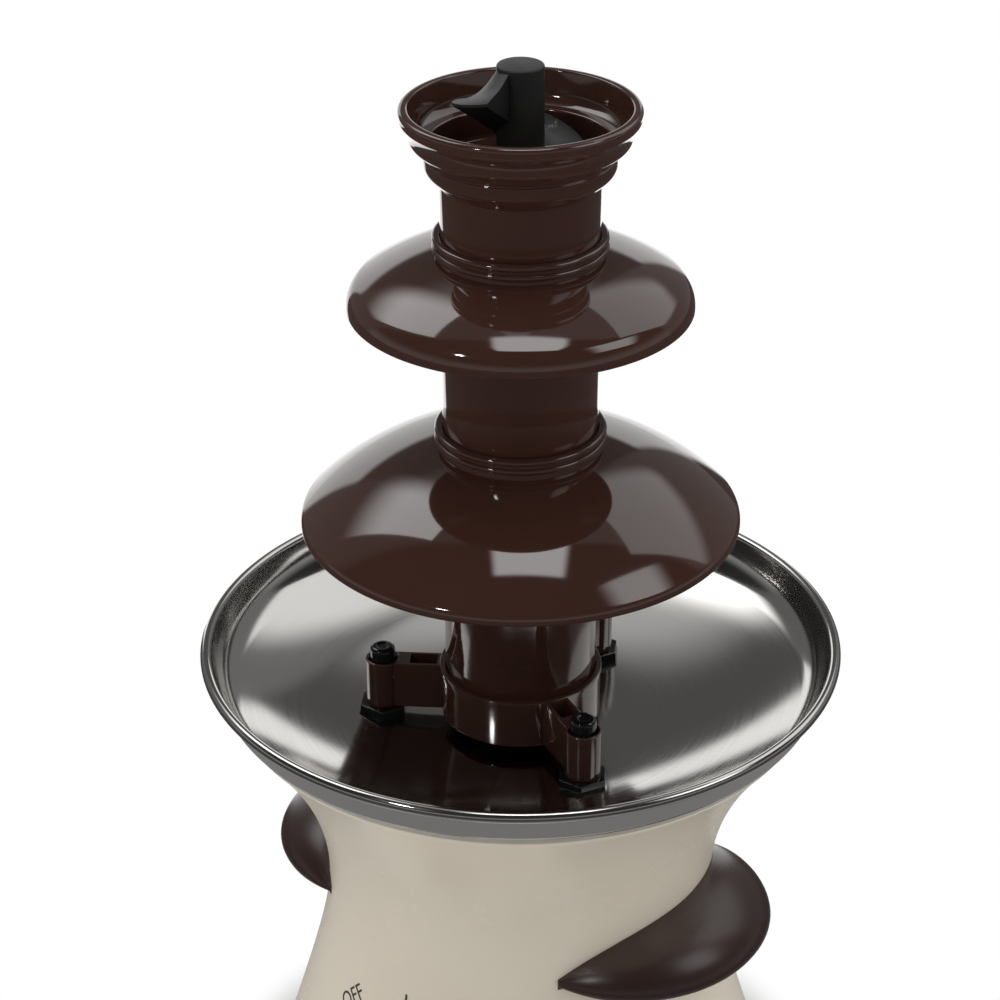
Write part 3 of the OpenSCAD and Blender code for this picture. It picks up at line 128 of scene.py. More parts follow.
class FountainTower(bpy.types.PropertyGroup):
    """Sizes of the tower that lifts off."""
    tube_radius: length("Tube radius", 24.8, "Outer radius of the tubes")
    tube_wall: length("Tube wall", 2.8, "Wall of the tubes")
    plug_clear: length("Plug clearance", 0.1, "Radial clearance of a tube in the collar below it")
    plug_depth: length("Plug depth", 12, "Depth of a tube in the collar below it")
    collar_wall: length("Collar wall", 1.4, "Wall of the collars")
    collar_bead: length("Collar bead", 1, "Radius of the beads round the collars")
    dome_wall: length("Dome wall", 2.2, "Thickness of the domes")
    large_rim_height: length("Large rim height", 55.6, "Height of the large tier's rim above the tower foot")
    large_rim_radius: length("Large rim radius", 70.5, "Radius of the large tier's rim")
    large_slope: degrees("Large slope", 27.8, "Mean slope of the large tier")
    large_bow: degrees("Large bow", 16.5, "How far the large tier's slope goes from its mean")
    large_edge: length("Large edge", 4, "Rounding of the large tier's edge")
    medium_rim_height: length("Medium rim height", 41.7,
                              "Height of the medium tier's rim above the large tier")
    medium_rim_radius: length("Medium rim radius", 54.1, "Radius of the medium tier's rim")
    medium_slope: degrees("Medium slope", 21.8, "Mean slope of the medium tier")
    medium_bow: degrees("Medium bow", 11.8, "How far the medium tier's slope goes from its mean")
    medium_edge: length("Medium edge", 8.8, "Rounding of the medium tier's edge")
    crown_rim_radius: length("Crown rim radius", 36.9, "Outer radius of the crown's rim")
    crown_bead: length("Crown bead", 1.4, "Radius of the crown's lip")
    crown_lip: length("Crown lip", 4.2, "Height of the crown's lip")
    crown_flare: length("Crown flare", 15.2, "Height of the crown's rim above the band round its neck")
    crown_band: length("Crown band", 29.5, "Radius of the band round the crown's neck")
    cup_depth: length("Cup depth", 10.8, "Depth of the crown's cup")
    arm_width: length("Arm width", 8.5, "Width of the foot's arms")
    boss_radius: length("Boss radius", 5.8, "Outer radius of the bosses on the arms")
    boss_bore: length("Boss bore", 4.7, "Radius of the bosses' bores")
    pin_ring: length("Pin ring", 45.8, "Distance of the locating pins from the middle")
    pin_radius: length("Pin radius", 4.25, "Radius of a locating pin")
    pin_hex: length("Pin hexagon", 14.7, "Width of the hexagon below a pin")
    pin_hex_height: length("Pin hexagon height", 4, "Height of the hexagon below a pin")


class FountainBowl(bpy.types.PropertyGroup):
    """Sizes of the steel bowl."""
    rim_radius: length("Rim radius", 105, "Outer radius over the rolled rim")
    bead: length("Rim bead", 1.8, "Radius of the rolled rim")
    flat_radius: length("Flat radius", 30, "Radius of the flat middle of the floor")
    bend_radius: length("Bend radius", 62,
                        "Radius where the line of the dish's edge meets the level of the floor")
    corner_radius: length("Corner radius", 98.6, "Radius where the wall meets the dished floor")
    dish_height: length("Dish height", 18.5, "Rise of the dished floor")
    wall_height: length("Wall height", 11.6, "Height of the wall above the dish")
    sheet: length("Sheet", BOWL_SHEET / MM, "Thickness of the sheet steel")
    hole: length("Bush hole", 8.2, "Radius of the hole for the shaft's bush")
    corner_curve: length("Corner curve", 14, "Radius of the curve from the dish to the wall")
    outer_curve: length("Outer curve", 4.4, "Radius of the curve below the wall, seen from outside")


class FountainBase(bpy.types.PropertyGroup):
    """Sizes of the base shell, its handles and its knob."""
    top_radius: length("Top radius", 96.3, "Radius of the shell's upper edge")
    waist_radius: length("Waist radius", 65.5, "Radius of the shell's waist")
    waist_height: length("Waist height", 97, "Height of the waist above the lower edge")
    foot_radius: length("Foot radius", 90, "Radius of the shell's lower edge")
    waist_soft: length("Waist softness", 9, "Softness of the waist's curve")
    wall: length("Wall", 2.6, "Thickness of the shell's wall")
    handle_reach: length("Handle reach", 24.4, "Reach of a handle from the shell")
    handle_half_angle: degrees("Handle half angle", 46, "Half of the angle that a handle covers")
    handle_edge: length("Handle edge height", 92.6, "Height of a handle's edge above the shell's lower edge")
    handle_rise: length("Handle rise", 13.4, "Rise of a handle from its edge to its root")
    handle_root: length("Handle root", 10, "Thickness of a handle's root")
    handle_lip: length("Handle lip", 4.6, "Thickness of a handle's edge")
    handle_gap: length("Handle gap", 0.15, "Gap between a handle and the shell")
    knob_radius: length("Knob radius", 21.5, "Radius of the knob")
    knob_height: length("Knob height", 16, "Height of the knob")
    knob_middle: length("Knob middle", 45, "Height of the knob's middle above the shell's lower edge")
    knob_lift: length("Knob lift", 0.6, "Gap between the knob and the floor of its well")
    well_depth: length("Well depth", 3.5, "Depth of the well that the knob sits in")
    well_radius: length("Well radius", 22.5, "Radius of the well")
    well_proud: length("Well rim", 1.2, "Height of the well's rim above the shell")
    pointer_rest: degrees("Pointer at rest", 135,
                          "Angle of the knob's pointer at rest, anticlockwise from the right")
    mark_ring: length("Mark ring", 34.5, "Distance of the dial's marks from the knob's middle")
    mark_size: length("Mark size", 5.6, "Height of the dial's marks")
    gland_middle: length("Gland middle", 22, "Height of the cord gland above the shell's lower edge")


class FountainAuger(bpy.types.PropertyGroup):
    """Sizes of the auger."""
    radius: length("Radius", 20.5, "Outer radius of the flight")
    shaft_radius: length("Shaft radius", 7.25, "Radius of the shaft")
    pitch: length("Pitch", 34, "Pitch of the flight")
    root_height: length("Root height", 16, "Height of the flight at the shaft")
    tip_height: length("Tip height", 1.2, "Height of the flight at its tip")
    tip_lift: length("Tip lift", 2, "Height of the tip above the middle of the root")
    hollow: length("Hollow", 0.8, "Depth to which the flight's upper face is scooped")
    end_angle: degrees("End angle", -84, "Direction of the flight's upper end")
    blend_radius: length("Blend radius", 17,
                         "Radius inside which the flight's upper end runs up to the shaft's top")
    end_gap: length("End gap", 0.4, "Distance of the flight's upper end below the shaft's top")
    skirt_radius: length("Skirt radius", 11.6, "Outer radius of the skirt that covers the bush")
    skirt_bore: length("Skirt bore", 9.6, "Inner radius of the skirt")
    skirt_height: length("Skirt height", 12.4, "Height of the skirt")
    socket_radius: length("Socket radius", 4.05, "Radius of the socket on the drive shaft")
    socket_flat: length("Socket flat", 3.05, "Distance of the socket's flat from the middle")
    socket_depth: length("Socket depth", 22, "Depth of the socket on the drive shaft")


class FountainFinish(bpy.types.PropertyGroup):
    """Colours of the finishes."""
    cocoa: colour("Cocoa", "#412922", "Glossy brown plastic of the tower")
    cocoa_deep: colour("Deep cocoa", "#39231D", "Darker drifts in the glossy brown plastic")
    handle: colour("Handle", "#382420", "Satin brown plastic of the handles")
    handle_deep: colour("Deep handle", "#2C1C19", "Darker drifts in the satin brown plastic")
    cream: colour("Cream", "#E8DECC", "Cream plastic of the base")
    cream_deep: colour("Deep cream", "#E1D6C3", "Warmer drifts in the cream plastic")
    steel: colour("Steel", "#C8C6C3", "Polished stainless steel of the bowl")
    black: colour("Black", "#1F1F1E", "Black plastic of the auger")
    mark: colour("Mark", "#4A4543", "Printed marks round the knob")


class FountainStage(bpy.types.PropertyGroup):
    """Camera and light."""
    azimuth: degrees("Camera azimuth", 34.1, "Direction of the camera, from the front towards the right")
    pitch: degrees("Camera pitch", 28.09, "Angle by which the camera looks down")
    distance: length("Camera distance", 792.77, "Level distance of the camera from the auger")
    height: length("Camera height", 665.09, "Height of the camera above the table")
    focal: FloatProperty(name="Focal length", description="Focal length in millimetres", default=100.86)
    shift: FloatProperty(name="Camera shift", description="Sideways shift of the picture", default=-0.0205)
    backdrop: degrees("Backdrop azimuth", -173.5,
                      "Direction of the backdrop's middle, from the camera's direction")
    segments: IntProperty(name="Segments", description="Segments of a turned piece", default=160,
                          min=24, max=360)


# Profiles: lists of (radius, height)

def arc(middle, radius, start, end, steps=12):
    """Points on an arc, angles in degrees."""
    angles = [math.radians(start + (end - start) * i / steps) for i in range(steps + 1)]
    return [(middle[0] + radius * math.cos(a), middle[1] + radius * math.sin(a)) for a in angles]


def fillet(before, corner, after, radius, steps=8):
    """Points on an arc that rounds a corner."""
    c = Vector(corner)
    a = (Vector(before) - c).normalized()
    b = (Vector(after) - c).normalized()
    half = math.acos(max(-1, min(1, a.dot(b)))) / 2
    middle = c + (a + b).normalized() * radius / math.sin(half)
    q0 = c + a * radius / math.tan(half) - middle
    q1 = c + b * radius / math.tan(half) - middle
    start = math.degrees(math.atan2(q0.y, q0.x))
    sweep = math.degrees(math.atan2(q1.y, q1.x)) - start
    sweep = sweep - 360 if sweep > 180 else sweep + 360 if sweep < -180 else sweep
    return arc(middle, radius, start, start + sweep, steps)


def rounded(points, radii, steps=6):
    """Closed outline with each corner rounded by its own radius."""
    line = []
    for i, (corner, radius) in enumerate(zip(points, radii)):
        if radius:
            line += fillet(points[i - 1], corner, points[(i + 1) % len(points)], radius, steps)
        else:
            line.append(corner)
    return line


def oblong(x0, y0, x1, y1):
    return [(x0, y0), (x1, y0), (x1, y1), (x0, y1)]


def shifted(line, distance):
    """Open line moved to its left."""
    out = []
    for i, p in enumerate(line):
        sides = []
        for a, b in ((i - 1, i), (i, i + 1)):
            if a >= 0 and b < len(line):
                d = (Vector(line[b]) - Vector(line[a])).normalized()
                sides.append(Vector((-d.y, d.x)))
        n1, n2 = sides[0], sides[-1]
        q = Vector(p) + distance * (n1 + n2) / (1 + n1.dot(n2))
        out.append((q.x, q.y))
    return out


# Meshes

def new_object(name, mesh):
    obj = bpy.data.objects.new(name, mesh)
    bpy.context.scene.collection.objects.link(obj)
    return obj


def tidy(mesh, merge=WELD):
    """Merge doubles, drop what has no area and point the faces outwards."""
    bm = bmesh.new()
    bm.from_mesh(mesh)
    bmesh.ops.remove_doubles(bm, verts=bm.verts, dist=merge)
    bmesh.ops.dissolve_degenerate(bm, edges=bm.edges, dist=merge)
    bmesh.ops.recalc_face_normals(bm, faces=bm.faces)
    bm.to_mesh(mesh)
    bm.free()


def loft(name, rings, closed=False):
    """Solid between rings of points; a closed loft joins its last ring to its first."""
    count = len(rings[0])
    verts = [p for ring in rings for p in ring]
    last = len(rings) if closed else len(rings) - 1
    faces = []
    for i in range(last):
        a, b = i * count, (i + 1) % len(rings) * count
        faces += [(a + j, a + (j + 1) % count, b + (j + 1) % count, b + j) for j in range(count)]
    if not closed:
        faces += [tuple(range(count)), tuple(range((len(rings) - 1) * count, len(rings) * count))]
    mesh = bpy.data.meshes.new(name)
    mesh.from_pydata(verts, [], faces)
    tidy(mesh)
    return new_object(name, mesh)


def turned(name, profile, segments=None):
    """Solid of revolution of a closed profile."""
    segments = segments or bpy.context.scene.fountain_stage.segments
    rings = []
    for i in range(segments):
        a = 2 * math.pi * i / segments
        rings.append([(r * math.cos(a), r * math.sin(a), z) for r, z in profile])
    return loft(name, rings, closed=True)


def plug(name, radius, low, high, segments):
    """Upright cylinder on the axis."""
    return turned(name, oblong(0, low, radius, high), segments)


def block(name, outline, low, high, bevel=0.0):
    """Upright prism on an outline, with its upper and lower edges rounded."""
    levels = [(low, 0.0), (high, 0.0)]
    if bevel:
        steps = 4
        quarter = [math.pi / 2 * i / steps for i in range(steps + 1)]
        levels = [(low + bevel * (1 - math.sin(t)), bevel * (1 - math.cos(t))) for t in reversed(quarter)]
        levels += [(high - bevel * (1 - math.sin(t)), bevel * (1 - math.cos(t))) for t in quarter]
    around = [outline[-1]] + outline + outline[:1]
    rings = []
    for z, inset in levels:
        ring = shifted(around, inset)[1:-1] if inset else outline
        rings.append([(x, y, z) for x, y in ring])
    return loft(name, rings)


def settle(obj):
    """Turn an object's modifiers into plain mesh."""
    result = bpy.data.meshes.new_from_object(obj.evaluated_get(bpy.context.evaluated_depsgraph_get()))
    obj.modifiers.clear()
    old = obj.data
    obj.data = result
    bpy.data.meshes.remove(old)
    return obj


def discard(obj):
    """Remove a helper object with its data."""
    data = obj.data
    bpy.data.objects.remove(obj)
    (bpy.data.curves if isinstance(data, bpy.types.Curve) else bpy.data.meshes).remove(data)


def combine(obj, tools, operation):
    """Add tools to an object, or cut them out of it."""
    for tool in tools:
        boolean = obj.modifiers.new("shape", "BOOLEAN")
        boolean.operation = operation
        boolean.solver = "EXACT"
        boolean.object = tool
        settle(obj)
        discard(tool)
    tidy(obj.data)
    return obj


def moved(obj, matrix):
    obj.data.transform(matrix)
    return obj


def turned_to(azimuth):
    """Rotation that brings the front (-Y) to an azimuth towards +X."""
    return Matrix.Rotation(math.radians(azimuth), 4, "Z")


def finish(obj, body, look, nodes, sharp=32):
    """Give a piece its material, smooth it, and let it ride in place of its CAD nodes."""
    obj.data.materials.clear()
    obj.data.materials.append(MATERIALS[look])
    obj.data.shade_smooth()
    obj.data.set_sharp_from_angle(angle=math.radians(sharp))
    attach(obj, body)
    if nodes:
        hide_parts(*nodes)


def shell_radius(z):
    """Outer radius of the base shell: a parabola above the waist, a hyperbola below."""
    base = bpy.context.scene.fountain_base
    waist = SHELL_LOW.z + base.waist_height
    if z > waist:
        up = (z - waist) / (GASKET_LOW.z - waist)
        return base.waist_radius + (base.top_radius - base.waist_radius) * up * up
    soft = base.waist_soft
    flare = math.sqrt((base.foot_radius - base.waist_radius + soft) ** 2 - soft ** 2) / base.waist_height
    return base.waist_radius + math.hypot(soft, flare * (waist - z)) - soft


def shell_slope(z, step=0.0005):
    return (shell_radius(z + step) - shell_radius(z - step)) / (2 * step)


def shell_place(z, azimuth):
    """Matrix of a place on the shell: its Z axis stands square to the shell at a height and an azimuth."""
    tilt = math.atan(-shell_slope(z))
    return (turned_to(azimuth) @ Matrix.Translation((0, -shell_radius(z), z))
            @ Matrix.Rotation(math.pi / 2 - tilt, 4, "X"))


def knob_place():
    return shell_place(SHELL_LOW.z + bpy.context.scene.fountain_base.knob_middle, 0)


def gland_place():
    return shell_place(SHELL_LOW.z + bpy.context.scene.fountain_base.gland_middle, 180)


# Materials

def add(tree, kind, inputs=None, **settings):
    """Add a node with its settings; inputs are values or sockets to link."""
    node = tree.nodes.new(kind)
    for name, value in settings.items():
        setattr(node, name, value)
    for name, value in (inputs or {}).items():
        if isinstance(value, bpy.types.NodeSocket):
            tree.links.new(value, node.inputs[name])
        else:
            node.inputs[name].default_value = value
    return node


def maths(tree, kind, a, b, **settings):
    return add(tree, "ShaderNodeMath", {0: a, 1: b}, operation=kind, **settings).outputs[0]


def vectors(tree, kind, *values):
    """Result of vector maths, which is a number for a length or a dot product."""
    node = add(tree, "ShaderNodeVectorMath", dict(enumerate(values)), operation=kind)
    return node.outputs["Value" if kind in ("LENGTH", "DOT_PRODUCT") else "Vector"]


def blend(tree, share, a, b):
    """Socket with a where share is 0 and b where it is 1."""
    return add(tree, "ShaderNodeMix", {"Factor": share, "A": a, "B": b}).outputs["Result"]


def ranged(tree, value, x0, x1, y0=0.0, y1=1.0, **settings):
    """Socket that goes from y0 to y1 while value goes from x0 to x1."""
    span = {"Value": value, "From Min": x0, "From Max": x1, "To Min": y0, "To Max": y1}
    return add(tree, "ShaderNodeMapRange", span, **settings).outputs[0]


def eased(tree, *span):
    """The same with soft ends."""
    return ranged(tree, *span, interpolation_type="SMOOTHSTEP")


def layered(tree, share, under, over):
    """Shader over another by a share."""
    return add(tree, "ShaderNodeMixShader", {0: share, 1: under, 2: over}).outputs[0]


def mirrored(tree, path):
    """Socket that is 1 for what the camera sees, directly, in reflections or through clear pieces."""
    rays = maths(tree, "ADD", path.outputs["Is Camera Ray"], path.outputs["Is Glossy Ray"])
    return maths(tree, "ADD", rays, path.outputs["Is Transmission Ray"], use_clamp=True)


def cloudy(tree, place, size, **inputs):
    """Socket with noise of a size in millimetres."""
    noise = {"Vector": place.outputs["Object"], "Scale": 1 / (size * MM), **inputs}
    return add(tree, "ShaderNodeTexNoise", noise).outputs["Fac"]


def bare_tree(owner):
    """Empty node tree of a material or a world."""
    owner.use_nodes = True
    owner.node_tree.nodes.clear()
    return owner.node_tree


def new_material(name, **sockets):
    """Material with a Principled shader; values are set on its own sockets."""
    material = bpy.data.materials.new(name)
    material.use_nodes = True
    tree = material.node_tree
    shader = tree.nodes["Principled BSDF"]
    for socket, value in sockets.items():
        shader.inputs[socket.replace("_", " ")].default_value = value
    return material, tree, shader


def tint(tree, shader, share, light, deep):
    """Colour a shader between two colours, given as sRGB hex or linear."""
    mix = add(tree, "ShaderNodeMix", {"Factor": share}, data_type="RGBA")
    for socket, tone in (("A", light), ("B", deep)):
        mix.inputs[socket].default_value = linear(tone) if isinstance(tone, str) else tone
    tree.links.new(mix.outputs["Result"], shader.inputs["Base Color"])


def relief(tree, shader, height, depth):
    """Bump of a depth in millimetres."""
    bump = add(tree, "ShaderNodeBump", {"Height": height, "Distance": depth * MM, "Strength": 1.0})
    tree.links.new(bump.outputs["Normal"], shader.inputs["Normal"])


def mottled(name, light, deep, drift, rough, grain, depth, **sockets):
    """Moulded or machined surface: its colour drifts slowly, and its relief has a fine grain.

    drift, grain and the relief's depth are in millimetres; rough is the least and the most roughness.
    """
    material, tree, shader = new_material(name, **sockets)
    place = add(tree, "ShaderNodeTexCoord")
    clouds = cloudy(tree, place, drift, Detail=3.0)
    tint(tree, shader, clouds, light, deep)
    # Noise mostly lies from 0.3 to 0.7.
    tree.links.new(ranged(tree, clouds, 0.3, 0.7, *rough, clamp=False), shader.inputs["Roughness"])
    relief(tree, shader, cloudy(tree, place, grain, Detail=2.0), depth)
    return material


def spun_steel(name, tone):
    """Spun and polished stainless steel: faint turning lines run round the bowl and smear its reflections."""
    material, tree, shader = new_material(name, Metallic=1.0, Base_Color=tone)
    place = add(tree, "ShaderNodeTexCoord")
    radius = vectors(tree, "LENGTH", vectors(tree, "MULTIPLY", place.outputs["Object"], LEVEL))
    # Turning lines are about 0.05 mm apart; they are drawn 1.4 mm apart so that they show.
    lines = add(tree, "ShaderNodeTexNoise", {"W": radius, "Scale": 1 / (1.4 * MM), "Detail": 1.0},
                noise_dimensions="1D").outputs["Fac"]
    mixed = maths(tree, "ADD", lines, cloudy(tree, place, 30))
    tree.links.new(ranged(tree, mixed, 0.7, 1.3, 0.1, 0.14), shader.inputs["Roughness"])
    relief(tree, shader, lines, 0.0015)
    return material


def wound_copper(name):
    """Enamelled copper wire: turns side by side across the coil, with a painted highlight on each turn's
    crest and painted shade in the groove between turns.
    """
    material, tree, shader = new_material(name, Metallic=1.0, Roughness=0.3)
    place = add(tree, "ShaderNodeTexCoord")
    # Turns of 0.5 mm wire lie along X; the wave texture repeats 20 times faster than its scale says.
    wire = 0.5 * MM
    turns = add(tree, "ShaderNodeTexWave", {"Vector": place.outputs["Object"], "Scale": 1 / wire / 20,
                                            "Distortion": 0.4}, bands_direction="X").outputs["Fac"]
    # Painted highlight and shade: the same wave that raises each turn colours its crest bright copper and the
    # groove beside it dark.
    tint(tree, shader, turns, "#7A3B1E", "#C87A4A")
    relief(tree, shader, turns, 0.1)
    return material


MATERIALS = {}


def make_materials():
    tones = bpy.context.scene.fountain_finish
    MATERIALS.update({
        # Polypropylene from a polished mould: mirror gloss with a slight waviness
        "cocoa_plastic": mottled("polished polypropylene, cocoa", tones.cocoa, tones.cocoa_deep, 40,
                                 (0.04, 0.08), 5, 0.0015, IOR=1.75),
        # Polypropylene from an eroded mould: satin, with a fine even grain
        "handle_plastic": mottled("eroded polypropylene, cocoa", tones.handle, tones.handle_deep, 25,
                                  (0.27, 0.35), 0.6, 0.01, IOR=1.6),
        # ABS from a polished mould: even cream with a soft gloss
        "cream_plastic": mottled("moulded ABS, cream", tones.cream, tones.cream_deep, 60,
                                 (0.22, 0.3), 2.5, 0.004, IOR=1.53),
        "stainless": spun_steel("spun stainless steel", tones.steel),
        # Glass-filled nylon: matte black with faint flow marks
        "black_plastic": mottled("moulded nylon, black", tones.black, "#161615", 12,
                                 (0.42, 0.58), 0.8, 0.02, IOR=1.52),
        # Phenolic cap of the pins: black and glossy
        "black_gloss": mottled("moulded phenolic, black", "#141416", "#0B0B0C", 9,
                               (0.1, 0.18), 3, 0.004, IOR=1.6),
        # Acetal gears and bush: waxy natural white
        "white_plastic": mottled("moulded acetal, natural", "#EDEBE3", "#E2DFD3", 18,
                                 (0.32, 0.45), 1.2, 0.008, IOR=1.48),
        # Moulded rubber: dull black with a dusty bloom
        "rubber": mottled("moulded rubber, black", "#262625", "#171716", 8,
                          (0.7, 0.9), 0.5, 0.03, IOR=1.52),
        # Silicone seals: dull grey, a little translucent
        "silicone": mottled("moulded silicone, grey", "#BDB9B0", "#A9A59C", 10,
                            (0.5, 0.65), 0.8, 0.01, IOR=1.41),
        # Ground steel shafts and pins
        "steel": mottled("ground steel", "#C9CACC", "#B2B4B7", 6, (0.14, 0.26), 0.5, 0.004,
                         Metallic=1.0),
        # Zinc-plated sheet and screws: pale, slightly blue, blotched by the bath
        "zinc": mottled("zinc-plated steel", "#B9BDC2", "#8F959B", 7, (0.26, 0.44), 0.9, 0.01,
                        Metallic=1.0),
        # Stacked electrical steel: dark, oiled edges
        "lamination": mottled("electrical steel laminations", "#5A5D61", "#3C3F43", 2.5,
                              (0.38, 0.6), 0.5, 0.03, Metallic=1.0),
        # Die-cast aluminium: grey with a sandy skin
        "aluminium": mottled("die-cast aluminium", "#C4C6C8", "#A4A7AA", 9, (0.36, 0.52), 0.7, 0.03,
                             Metallic=1.0),
        # Turned brass: warm yellow with tool marks
        "brass": mottled("turned brass", "#C8A25A", "#A98343", 5, (0.2, 0.34), 0.5, 0.006,
                         Metallic=1.0),
        "copper": wound_copper("enamelled copper wire"),
        # Pad-printed ink: flat dark grey
        "ink": mottled("pad-printed ink", tones.mark, "#3A3634", 3, (0.45, 0.6), 0.4, 0.002),
    })


# Geometry Nodes trees

def new_tree(name, inputs):
    """Geometry node tree with named inputs; returns the tree, its input node and its output node."""
    tree = bpy.data.node_groups.new(name, "GeometryNodeTree")
    tree.interface.new_socket("Geometry", in_out="OUTPUT", socket_type="NodeSocketGeometry")
    for label, kind in inputs:
        tree.interface.new_socket(label, in_out="INPUT", socket_type=kind)
    return tree, tree.nodes.new("NodeGroupInput"), tree.nodes.new("NodeGroupOutput")


def end_tree(tree, geometry, material, out):
    """Realize what the tree made, give it its material and send it out."""
    real = add(tree, "GeometryNodeRealizeInstances", {"Geometry": geometry})
    dressed = add(tree, "GeometryNodeSetMaterial", {"Geometry": real.outputs[0], "Material": material})
    tree.links.new(dressed.outputs[0], out.inputs[0])


def grow(name, tree, values):
    """Plain mesh object made by a tree with these values of its named inputs."""
    obj = new_object(name, bpy.data.meshes.new(name))
    modifier = obj.modifiers.new("nodes", "NODES")
    modifier.node_group = tree
    for item in tree.interface.items_tree:
        if item.in_out == "INPUT" and item.name in values:
            modifier[item.identifier] = values[item.name]
    obj.update_tag()
    settle(obj)
    tidy(obj.data, TREE_WELD)
    return obj


def ring_tree():
    """Copies of one piece round the auger's axis, each turned to face outwards."""
    tree, given, out = new_tree("pieces_round_axis", [
        ("Piece", "NodeSocketObject"), ("Count", "NodeSocketInt"), ("Material", "NodeSocketMaterial")])
    source = add(tree, "GeometryNodeObjectInfo", {"Object": given.outputs["Piece"]})
    points = add(tree, "GeometryNodePoints", {"Count": given.outputs["Count"]})
    index = add(tree, "GeometryNodeInputIndex")
    share = maths(tree, "DIVIDE", index.outputs[0], given.outputs["Count"])
    turn = add(tree, "ShaderNodeCombineXYZ", {"Z": maths(tree, "MULTIPLY", share, 2 * math.pi)})
    copies = add(tree, "GeometryNodeInstanceOnPoints", {
        "Points": points.outputs[0], "Instance": source.outputs["Geometry"], "Rotation": turn.outputs[0]})
    end_tree(tree, copies.outputs[0], given.outputs["Material"], out)
    return tree


def flight_tree():
    """Helical flight: a section (X its radius, Z its height) carried down round the axis and closed."""
    numbers = ("End angle", "Turn", "Pitch", "Top", "Middle radius", "Root radius", "Blend radius",
               "Blend slope")
    blend_start, blend_end, blend_power = math.radians(70), math.radians(150), 2.2
    tree, given, out = new_tree("auger_flight", [
        ("Section", "NodeSocketObject"), ("Steps", "NodeSocketInt"), ("Points", "NodeSocketInt"),
        *((label, "NodeSocketFloat") for label in numbers), ("Material", "NodeSocketMaterial")])

    def sum_of(kind, a, b):
        return maths(tree, kind, a, b)

    grid = add(tree, "GeometryNodeMeshGrid", {
        "Size X": 1.0, "Size Y": 1.0, "Vertices X": given.outputs["Steps"],
        "Vertices Y": given.outputs["Points"]})
    place = add(tree, "ShaderNodeSeparateXYZ", {0: add(tree, "GeometryNodeInputPosition").outputs[0]})
    along = sum_of("ADD", place.outputs["X"], 0.5)
    across = sum_of("ADD", place.outputs["Y"], 0.5)
    # The first and last rows close the ends: they lie at the section's middle.
    last = sum_of("SUBTRACT", given.outputs["Steps"], 1.0)
    row = sum_of("MULTIPLY", along, last)
    share = sum_of("DIVIDE", sum_of("SUBTRACT", row, 1.0), sum_of("SUBTRACT", last, 2.0))
    share = add(tree, "ShaderNodeClamp", {"Value": share}).outputs[0]
    first_row = sum_of("LESS_THAN", row, 0.5)
    last_row = sum_of("GREATER_THAN", row, sum_of("SUBTRACT", last, 0.5))
    closed = sum_of("ADD", first_row, last_row)
    section = add(tree, "GeometryNodeObjectInfo", {"Object": given.outputs["Section"]})
    sample = add(tree, "GeometryNodeSampleCurve", {
        "Curves": section.outputs["Geometry"], "Factor": across}, mode="FACTOR", use_all_curves=True)
    point = add(tree, "ShaderNodeSeparateXYZ", {0: sample.outputs["Position"]})
    radius = blend(tree, closed, point.outputs["X"], given.outputs["Middle radius"])
    turn = sum_of("MULTIPLY", share, given.outputs["Turn"])
    angle = sum_of("SUBTRACT", given.outputs["End angle"], turn)
    drop = sum_of("DIVIDE", sum_of("MULTIPLY", turn, given.outputs["Pitch"]), 2 * math.pi)
    # By its upper end the flight's upper face runs up to the shaft's top; further down it falls back to
    # the helix.
    fall = eased(tree, turn, blend_start, blend_end, 1.0, 0.0)
    inward = ranged(tree, point.outputs["X"], given.outputs["Blend radius"], given.outputs["Root radius"])
    beyond = sum_of("SUBTRACT", point.outputs["X"], given.outputs["Root radius"])
    middle = sum_of("MULTIPLY", beyond, given.outputs["Blend slope"])
    upper = sum_of("GREATER_THAN", point.outputs["Z"], middle)
    weight = sum_of("MULTIPLY", sum_of("POWER", inward, blend_power), upper)
    lift = sum_of("MULTIPLY", sum_of("MULTIPLY", drop, fall), weight)
    rise = sum_of("MULTIPLY", sum_of("ADD", point.outputs["Z"], lift), sum_of("SUBTRACT", 1.0, closed))
    spot = add(tree, "ShaderNodeCombineXYZ", {
        "X": sum_of("MULTIPLY", radius, sum_of("COSINE", angle, 0.0)),
        "Y": sum_of("MULTIPLY", radius, sum_of("SINE", angle, 0.0)),
        "Z": sum_of("ADD", sum_of("SUBTRACT", given.outputs["Top"], drop), rise)})
    placed = add(tree, "GeometryNodeSetPosition", {
        "Geometry": grid.outputs["Mesh"], "Position": spot.outputs[0]})
    welded = add(tree, "GeometryNodeMergeByDistance", {"Geometry": placed.outputs[0], "Distance": WELD})
    end_tree(tree, welded.outputs[0], given.outputs["Material"], out)
    return tree


def line_object(name, points):
    """Closed polyline as a curve object, for a tree to sample."""
    curve = bpy.data.curves.new(name, "CURVE")
    curve.dimensions = "3D"
    spline = curve.splines.new("POLY")
    spline.points.add(len(points) - 1)
    for spot, p in zip(spline.points, points):
        spot.co = (*p, 1)
    spline.use_cyclic_u = True
    return new_object(name, curve)


# Pieces

def collar_radius(tower):
    return tower.tube_radius + tower.plug_clear + tower.collar_wall


def tube_end(tower, low):
    """Lower end of a tube, bevelled so that it enters the collar below it."""
    tube = tower.tube_radius
    return [(tube - tower.tube_wall, low), (tube - 0.5 * MM, low), (tube, low + 0.8 * MM)]


